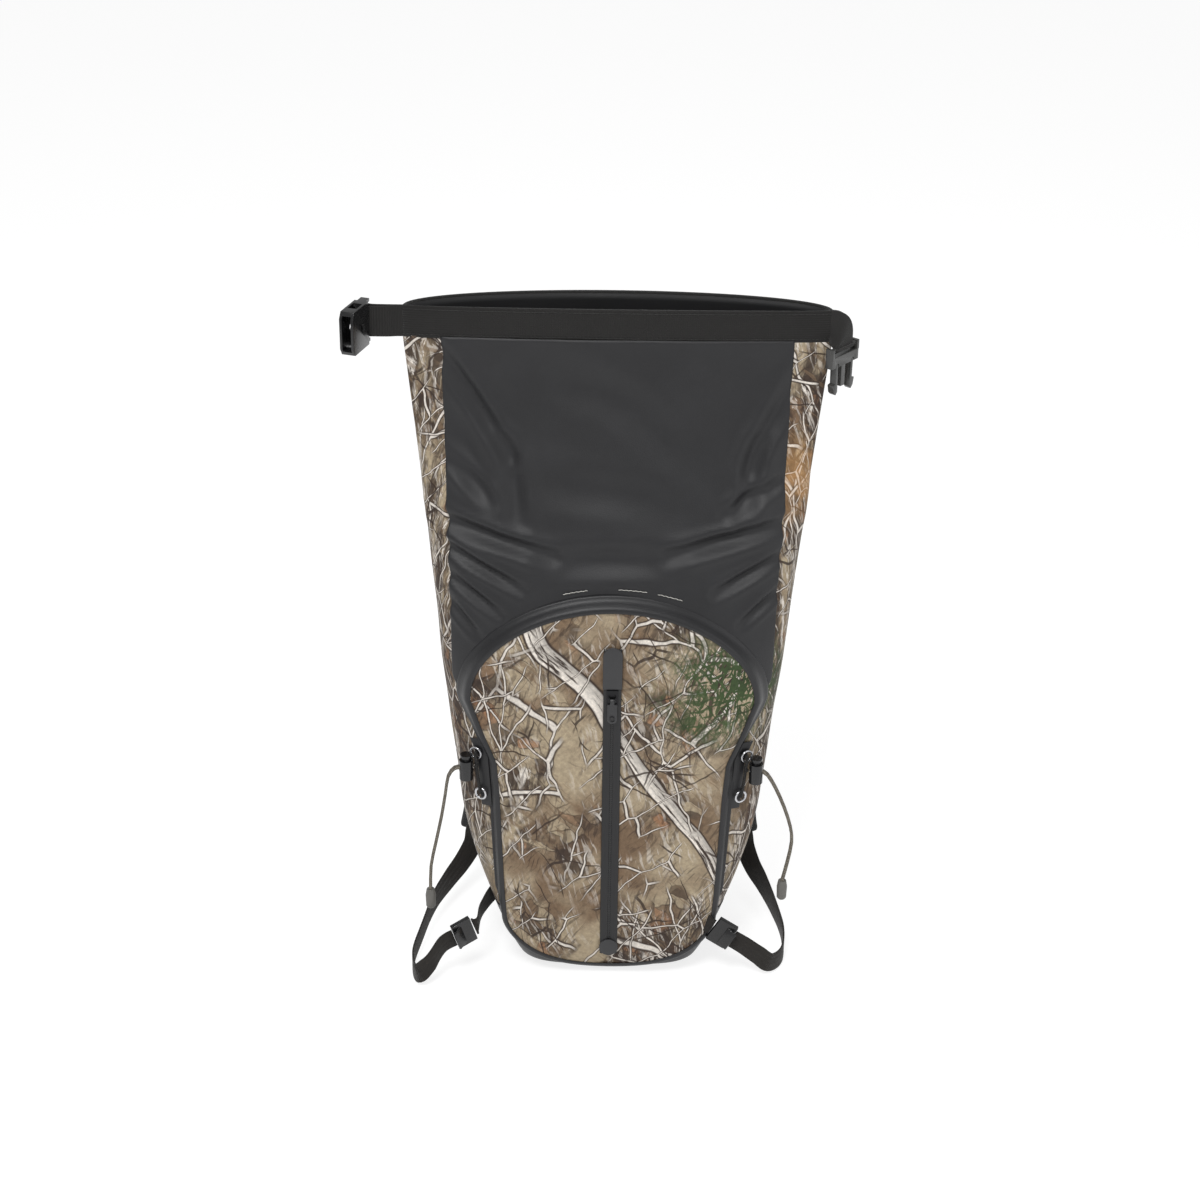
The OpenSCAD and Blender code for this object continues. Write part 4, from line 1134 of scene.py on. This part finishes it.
class BACKPACK_OT_zip(Maker, bpy.types.Operator):
    """Makes the vertical zip: tapes, coil, end caps, slider and pull"""

    bl_idname = "backpack.zip"
    bl_label = "Zip"

    def make(self, body):
        for side, sign in SIDES:
            self.tape(side, sign)
        dress("zip_coil", "coil")
        self.teeth()
        moulded("zip_garage", "zip_top_cap", "rubber", "bag", "soft_plastic", 0.0007)
        moulded("zip_bottom_stop", "zip_foot_cap", "rubber", "bag", "soft_plastic", 0.0007)
        moulded("zip_slider", "zip_runner", "slider", "slider", "zip_metal", 0.0004)
        moulded("zip_pull", "zip_tab", "rubber", "pull_tab", "soft_plastic", 0.0004)
        self.dimple()

    def tape(self, side, sign):
        """One tape of the zip: a film with a soft crown that dips towards the teeth."""
        (x0, y0, z0), (x1, _, z1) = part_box(f"zip_tape_{side}")
        inner, outer = (x1, x0) if sign < 0 else (x0, x1)

        def place(u, v):
            x = lerp(inner * 0.62, outer * 1.04, u)
            crown = 0.0009 * math.sin(math.pi * clamp(u * 0.92 + 0.08)) ** 0.5 - 0.0010 * (1 - ease(u / 0.12))
            return Vector((x, y0 + 0.0006 - crown, lerp(z0, z1, v)))

        made = sheet(f"zip_film_{side}", "tape", (12, 60), place, (0.01, 0.33), FORWARD, CLOTH)
        settle(made, "bag", "coated_charcoal", f"zip_tape_{side}")

    def teeth(self):
        """The ribbed strip of coil that shows between the tapes."""
        low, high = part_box("zip_tape_left")
        ribs, half = 150, 0.0034
        depth, top = lerp(low[1], high[1], 0.66), high[2] - 0.03

        def place(u, v):
            turn = math.sin(v * 2 * math.pi * ribs)
            return Vector((lerp(-half, half, u), depth + 0.0003 * turn, lerp(low[2], top, v)))

        settle(sheet("zip_teeth", "coil", (6, 600), place, (0.007, 0.3), FORWARD), "bag", "black_plastic")

    def dimple(self):
        """The round dimple pressed in the tab's end, made in the coil's darker plastic as painted shade in its
        hollow.
        """
        low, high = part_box("zip_pull")
        bm = bmesh.new()
        centre = Matrix.Translation(((low[0] + high[0]) / 2, low[1] - 0.0001, low[2] + 0.0058))
        bmesh.ops.create_cone(bm, cap_ends=True, segments=28, radius1=0.0023, radius2=0.0020, depth=0.0006,
                              matrix=centre @ Matrix.Rotation(math.pi / 2, 4, "X"))
        top = max(bm.faces, key=lambda face: -face.calc_center_median().y)
        bmesh.ops.inset_region(bm, faces=[top], thickness=0.0005)
        bmesh.ops.translate(bm, verts=top.verts, vec=(0, 0.0004, 0))
        # the dimple takes the zip coil's darker finish: painted shade in the hollow
        settle(bag_object("zip_tab_dimple", bm, finish("coil"), sharp=40), "pull_tab", "soft_plastic")


class BACKPACK_OT_collar(Maker, bpy.types.Operator):
    """Makes the two halves of the webbing collar and the webbing ends that hold the buckle"""

    bl_idname = "backpack.collar"
    bl_label = "Collar"

    # the tape's section: how far in from the collar's outer face, and how far up
    PROFILE = (
        (0.0, 0.0006), (-0.0003, 0.004), (0.0, 0.0150), (-0.0003, 0.026), (0.0004, 0.0288), (0.0016, 0.0299),
        (0.0030, 0.0299), (0.0042, 0.0288), (0.0046, 0.026), (0.0046, 0.004), (0.0040, 0.0006), (0.0022, 0.0),
    )

    def make(self, body):
        ring = len(self.PROFILE)
        foot = body.rim_low + 0.0005
        for side, start in (("front", 180), ("back", 0)):
            def place(u, v):
                inset, up = self.PROFILE[round(u * ring) % ring]
                return body.point(start + 180 * v, foot, -inset) + Vector((0, 0, up - 0.0005))

            bm = draped_sheet(ring, 150, place, (0.07, 0.40), close_ends=True)
            made = bag_object(f"collar_tape_{side}", bm, finish("collar"))
            settle(made, "collar", "webbing", f"collar_{side}", f"{side}_stiffener")
        for row, up in (("low", 0.0032), ("high", 0.0264)):
            line = [body.point(lerp(186, 354, i / 60), foot, 0.0004) + Vector((0, 0, up)) for i in range(61)]
            stitched(f"collar_stitch_{row}", line, FORWARD, "collar", 0.0036, 0.00032, "dark_thread")
        self.left_end(body)
        self.right_end(body)

    def left_end(self, body):
        """The collar's left end runs on, and its tail turns round the socket's bar."""
        low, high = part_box("left_buckle_tab")
        bar, middle = low[0] + 0.0037, (low[2] + high[2]) / 2
        run = [(x - body.mouth, y, middle) for x, y in ((0.004, 0), (-0.004, -0.0004), (-0.013, -0.0022))]
        run += [(bar + x, y, middle) for x, y in (
            (0.006, -0.0030), (0.002, -0.0036), (-0.0022, -0.0026), (-0.0034, 0.0002),
            (-0.0020, 0.0030), (0.003, 0.0034), (0.010, 0.0012))]
        run.append((0.002 - body.mouth, 0.0008, middle))
        webbing("left_collar_end", "collar", smooth_route(run, 5), (UP, UP), 0, 0.0016,
                "collar", "left_buckle_tab", wide=lambda v: 0.0296 - 0.0016 * math.sin(math.pi * v) ** 2)

    def right_end(self, body):
        """The collar's right end folds over and hangs down to the plug's bar."""
        bar_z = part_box("right_buckle_tab")[0][2] + 0.0037
        bar_x = body.mouth + 0.009
        c, d = math.cos(math.radians(50)), math.sin(math.radians(50))
        half = 0.0125

        def fold(u, v):
            # u runs from the inner edge to the outer one, v from the collar's end down to the bar
            inner = Vector((body.mouth - 0.003, 0, 0.6325))
            inner = inner.lerp(Vector((bar_x - half * c, -half * d, bar_z)), ease(v * 1.6))
            a = math.pi / 2 * clamp(v * 1.25)
            x, y = bar_x + half * c, half * d
            outer = Vector((
                lerp(body.mouth - 0.003, x, math.sin(a) ** 0.8),
                lerp(0, y, ease(v * 1.3)),
                lerp(0.6618, bar_z + 0.010, 1 - math.cos(a))))
            if v > 0.8:
                outer = outer.lerp(Vector((x, y, bar_z)), (v - 0.8) / 0.2)
            return inner.lerp(outer, u)

        made = sheet("right_collar_end", "webbing", (20, 30), fold, (0.03, 0.04))
        thicken(made, 0.0034, 0.0)
        soft = made.modifiers.new("Soft", "BEVEL")
        soft.width, soft.segments = 0.0009, 3
        soft.limit_method, soft.angle_limit = "ANGLE", math.radians(50)
        angles = [math.radians(a) for a in range(-20, 201, 20)]
        turned = [Vector((0, math.cos(t), math.sin(t))) * 0.0031 for t in angles]

        def hem(u, v):
            q = between(turned, u)
            along = lerp(-0.0128, 0.0128, v)
            return Vector((bar_x + along * c - q.y * d, along * d + q.y * c, bar_z - q.z))

        cuff = sheet("right_bar_cuff", "webbing", (22, 10), hem, (0.02, 0.026), None, 0.0011)
        settle(made, "collar", "webbing", "right_buckle_tab")
        settle(cuff, "collar", "webbing")


class BACKPACK_OT_buckle(Maker, bpy.types.Operator):
    """Makes the closure buckle: the socket half, the plug half and its two prongs"""

    bl_idname = "backpack.buckle"
    bl_label = "Buckle"

    def make(self, body):
        moulded("buckle_socket", "socket_moulding", "moulding", "buckle_socket_half", "black_plastic",
                0.0012, 4)
        # the plug and its prongs take the lighter grey moulding: painted reflection off the plug's glossy face
        for node, name, rides, width in (
            ("buckle_plug", "plug_moulding", "buckle_plug_half", 0.0008),
            ("plug_prong_front", "front_prong", "prong_front", 0.0006),
            ("plug_prong_rear", "rear_prong", "prong_rear", 0.0006),
        ):
            moulded(node, name, "painted_reflection_moulding", rides, "grey_plastic", width)


class BACKPACK_OT_lacing(Maker, bpy.types.Operator):
    """Makes the side rings, their patches, the cord locks and the held laces"""

    bl_idname = "backpack.lacing"
    bl_label = "Side lacing"

    def make(self, body):
        for side, sign in SIDES:
            moulded(f"{side}_ring_patch", f"{side}_ring_backing", "edging", "bag", "coated_charcoal", 0.0004)
            dress(f"{side}_rings", "ring")
            self.spring(side)
            moulded(f"{side}_lock_barrel", f"{side}_lock_body", "moulding", "bag", "black_plastic", 0.0006)
            moulded(f"{side}_lock_plunger", f"{side}_lock_button", "moulding", f"{side}_plunger",
                    "black_plastic", 0.0005)
            self.laced(side, sign, body)

    def spring(self, side):
        """The wire spring under the button; the real one shortens as the button goes in, and this one is made
        as a still coil at its full height.
        """
        low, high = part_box(f"{side}_lock_spring")
        wire, steps, travel = 0.00045, 14, 0.003
        count = 7 * steps
        (x, y, _), radius = (low + high) / 2, (high[0] - low[0]) / 2 - 0.0005
        tall = high[2] - low[2]
        run = []
        for i in range(count + 1):
            a = 2 * math.pi * i / steps
            z = low[2] + wire + (tall - 2 * wire) * i / count
            run.append(Vector((x + radius * math.cos(a), y + radius * math.sin(a), z)))
        made = solid_run(run, wire, f"{side}_lock_coil", finish("spring"), 1)
        settle(made, "bag", "spring_steel", f"{side}_lock_spring")
        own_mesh(made)

    def laced(self, side, sign, body):
        """The held bungee: out of the lock, through the upper ring, down and through the lower ring."""
        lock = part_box(f"{side}_lock_barrel")
        x, y = (lock[0][0] + lock[1][0]) / 2, (lock[0][1] + lock[1][1]) / 2
        feed, wall = lock[0][2] + FEED_HEIGHT, (lock[1][0] - lock[0][0]) / 2
        up, low = body.face(sign * 0.127, 0.240, 0.0032), body.face(sign * 0.1226, 0.196, 0.0032)

        def beside(spot, across, out, rise):
            return spot + Vector((sign * across, out, rise))

        turn = beside(up, 0, -0.007, -0.002)
        first = [
            Vector((x - sign * (wall + 0.0012), y, feed)),
            Vector((x - sign * (wall + 0.0035), y - 0.0005, feed + 0.003)),
            turn,
            beside(up, 0, -0.0032, 0.0005),
            beside(up, -0.0006, -0.0002, 0.0012),
        ]
        second = [
            turn,
            beside(up, -0.0004, -0.0026, -0.009),
            beside(up.lerp(low, 0.5), 0.0006, -0.0034, 0),
            beside(low, 0.0012, -0.003, 0.008),
            beside(low, 0.0004, -0.0022, 0.001),
        ]
        for letter, points in (("upper", first), ("lower", second)):
            made = solid_run(smooth_route(points, 5), CORD / 2, f"{side}_lace_{letter}", finish("lace"))
            settle(made, "bag", "bungee", f"{side}_lace")


class BACKPACK_OT_straps(Maker, bpy.types.Operator):
    """Makes the shoulder straps, back pads, lower webbing, ladder locks, yoke and haul handle"""

    bl_idname = "backpack.straps"
    bl_label = "Straps and pads"

    # the lower webbing's way from the padded strap to the ladder lock, in millimetres
    ROUTES = {
        "left": (
            (-133, 88, 78), (-136.5, 84.5, 64), (-139, 82, 50), (-149, 66, 38), (-162, 42, 31), (-174, 10, 27),
            (-184, -32, 18), (-190, -66, 12), (-185, -92, 12), (-173, -94, 24), (-160, -83, 39),
            (-149, -77.6, 43.8)),
        "right": (
            (133, 88, 78), (136.5, 84.5, 64), (139, 82, 50), (146, 66, 38), (155, 40, 34), (164, 6, 30),
            (172, -26, 20), (170, -52, 12), (158, -68, 13), (145, -71, 24), (131, -70.7, 34.6),
            (119.4, -69.4, 41.5)),
    }
    # where each ladder lock hangs: its dip and swing in degrees, and its middle
    LADDERS = {"left": (18, 27, (-0.140, -0.073, 0.047)), "right": (30, 8, (0.110, -0.068, 0.047))}

    def make(self, body):
        for side, sign in SIDES:
            run = smooth_route([Vector(p) * MM for p in self.ROUTES[side]], 8)
            webbing(f"{side}_loop_webbing", "loop_webbing", run, (ACROSS, (0, 0, sign)), 0.020, 0.0018, "bag",
                    f"{side}_strap_web")
            moulded(f"{side}_ladder_lock", f"{side}_ladder_buckle", "moulding", "bag", "black_plastic",
                    0.0007)
            self.anchor(side, sign, body)
            strap = self.pad(f"{side}_shoulder_strap", f"{side}_padded_strap", 0.005, 0.7)
            self.trim(side, strap)
            self.pad(f"{side}_back_pad", f"{side}_back_cushion", 0.006, 0.75)
        self.yoke(body)
        self.handle(body)

    def anchor(self, side, sign, body):
        """The short tab that a ladder lock hangs on."""
        dip, swing, at = self.LADDERS[side]
        dip, swing = math.radians(dip), math.radians(swing)
        level = math.cos(dip)
        way = Vector((sign * level * math.cos(swing), -level * math.sin(swing), -math.sin(dip)))
        reach = 0.0115
        ends = [Vector(at) - way * (reach + 0.004), Vector(at) - way * reach]
        if sign < 0:
            z = at[2] + 0.004
            x = -(body.half(z) + 0.0015)
            root = [Vector((x + out, y, z)) for out, y in (
                (0, 0.014), (-0.0015, -0.002), (-0.009, -0.022), (-0.015, -0.044))]
            lean = Vector(((body.half(z - 0.01) - body.half(z + 0.01)) / 0.02, 0, 1))
        else:
            root = [body.face(0.084, at[2] + 0.015, 0.0030), body.face(0.0925, at[2] + 0.0115, 0.0066)]
            lean = Vector((math.sin(dip), 0, math.cos(dip)))
        webbing(f"{side}_anchor_webbing", "loop_webbing", smooth_route(root + ends, 6), (lean, UP),
                0.018, 0.0016, "bag", f"{side}_anchor_tab")

    def yoke(self, body):
        """The reinforced patch that the shoulder straps and the handle are sewn to."""
        low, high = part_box("strap_yoke")

        def patch(u, v):
            edge = min(min(u, 1 - u) * (high[0] - low[0]), min(v, 1 - v) * (high[2] - low[2]))
            lift = 0.0006 + 0.0018 * ease(edge / 0.0022)
            return body.face(lerp(low[0], high[0], u), lerp(low[2], high[2], v), lift, front=False)

        made = sheet("strap_patch", "webbing", (80, 40), patch, (0.16, 0.066), BACKWARD, 0.0006)
        settle(made, "bag", "webbing", "strap_yoke")

    def handle(self, body):
        """The webbing handle that the bag is hauled by."""
        z, half, out = 0.484, 0.042, 0.026
        near = body.face(half, z, 0.0035, front=False).y + 0.0026
        side = [(half + 0.016, near - 0.001, z), (half, near, z), (half - 0.008, near + 0.007, z),
                (half / 2, near + out - 0.004, z)]
        run = side + [(0, near + out, z)] + [(-x, y, z) for x, y, z in reversed(side)]
        webbing("haul_loop", "webbing", smooth_route(run, 8), (UP, UP), 0.020, 0.0029, "bag", "haul_handle")

    def pad(self, node, name, cap, fill):
        """Foam in spacer mesh: the frame's solid drawn in, remeshed, blown up as cloth and smoothed."""
        bm = bmesh.new()
        bm.from_mesh(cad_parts[node].data)
        bmesh.ops.remove_doubles(bm, verts=bm.verts, dist=1e-5)
        bm.normal_update()
        for v, way in [(v, v.normal.copy()) for v in bm.verts]:
            v.co -= way * 0.0016
        obj = bag_object(name, bm, finish("padding"))
        puff(obj, 0.005, cap)
        finer = obj.modifiers.new("Finer", "SUBSURF")
        finer.levels = finer.render_levels = 1
        settle(obj, "bag", "padding", node)
        return obj

    def trim(self, side, strap):
        """The webbing sewn down the outer face of a padded strap, with its two rows of stitches."""
        node = f"{side}_shoulder_strap"
        low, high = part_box(node)
        corners = [v.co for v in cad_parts[node].data.vertices]
        mesh = strap.data
        skin = BVHTree.FromPolygons([v.co for v in mesh.vertices], [tuple(f.vertices) for f in mesh.polygons])
        rows = 22
        spine = []
        for i in range(rows):
            z = lerp(high[2] - 0.030, low[2] + 0.014, i / (rows - 1))
            level = [c.x for c in corners if abs(c.z - z) < 0.012]
            if not level:
                continue
            x = (min(level) + max(level)) / 2
            hit = skin.ray_cast(Vector((x, 0.5, z)), FORWARD)[0]
            if hit:
                spine.append(hit + Vector((0, 0.0004, 0)))
        last = len(spine) - 1
        spine = [(spine[max(0, i - 1)] + q * 2 + spine[min(last, i + 1)]) / 4 for i, q in enumerate(spine)]
        webbing(f"{side}_strap_trim", "webbing", smooth_route(spine, 4), (ACROSS, ACROSS),
                0.022, 0.0020, "bag")
        for row, off in (("inner", -0.0092), ("outer", 0.0092)):
            line = [q + Vector((off, 0.0013, 0)) for q in spine]
            stitched(f"{side}_strap_stitch_{row}", line, BACKWARD, "bag", 0.0045, 0.0003, "grey_thread")


def puff(obj, voxel, cap):
    """Remeshes a pad and lets cloth pressure swell it, with how far a point may move kept under a cap."""
    grid = obj.modifiers.new("Grid", "REMESH")
    grid.mode, grid.voxel_size = "VOXEL", voxel
    apply_all(obj)
    rest = [v.co.copy() for v in obj.data.vertices]
    cloth = obj.modifiers.new("Swell", "CLOTH")
    cloth.settings.use_pressure = True
    cloth.settings.uniform_pressure_force = 4
    cloth.settings.effector_weights.gravity = 0
    scene, steps = bpy.context.scene, 20
    for number in range(1, steps + 1):
        scene.frame_set(number)
    apply_all(obj)
    for v, start in zip(obj.data.vertices, rest):
        move = v.co - start
        if move.length > cap:
            v.co = start + move.normalized() * cap
    scene.frame_set(1)
    obj.data.shade_smooth()


def apply_all(obj):
    """Puts what the modifiers make into the mesh, and takes them off."""
    mesh = evaluated_mesh(obj)
    obj.modifiers.clear()
    obj.data = mesh


class BACKPACK_PT_panel(bpy.types.Panel):
    """Lists the backpack's sizes, colours and makers"""

    bl_idname = "BACKPACK_PT_panel"
    bl_label = "Roll-top backpack"
    bl_space_type = "VIEW_3D"
    bl_region_type = "UI"
    bl_category = "Backpack"

    def draw(self, context):
        for group in (context.scene.backpack_sizes, context.scene.backpack_colours):
            box = self.layout.box()
            for prop in group.__annotations__:
                box.prop(group, prop)
        for maker in MAKERS:
            self.layout.operator(maker.bl_idname)


MAKERS = (
    BACKPACK_OT_stage,
    BACKPACK_OT_cords,
    BACKPACK_OT_walls,
    BACKPACK_OT_pouch,
    BACKPACK_OT_zip,
    BACKPACK_OT_collar,
    BACKPACK_OT_buckle,
    BACKPACK_OT_lacing,
    BACKPACK_OT_straps,
)


def register():
    for cls in (BACKPACK_sizes, BACKPACK_colours, *MAKERS, BACKPACK_PT_panel):
        bpy.utils.register_class(cls)
    bpy.types.Scene.backpack_sizes = PointerProperty(type=BACKPACK_sizes)
    bpy.types.Scene.backpack_colours = PointerProperty(type=BACKPACK_colours)


def unregister():
    del bpy.types.Scene.backpack_sizes
    del bpy.types.Scene.backpack_colours
    for cls in reversed((BACKPACK_sizes, BACKPACK_colours, *MAKERS, BACKPACK_PT_panel)):
        bpy.utils.unregister_class(cls)


def main():
    register()
    for maker in MAKERS:
        group, name = maker.bl_idname.split(".")
        getattr(getattr(bpy.ops, group), name)()


if __name__ == "__main__":
    main()
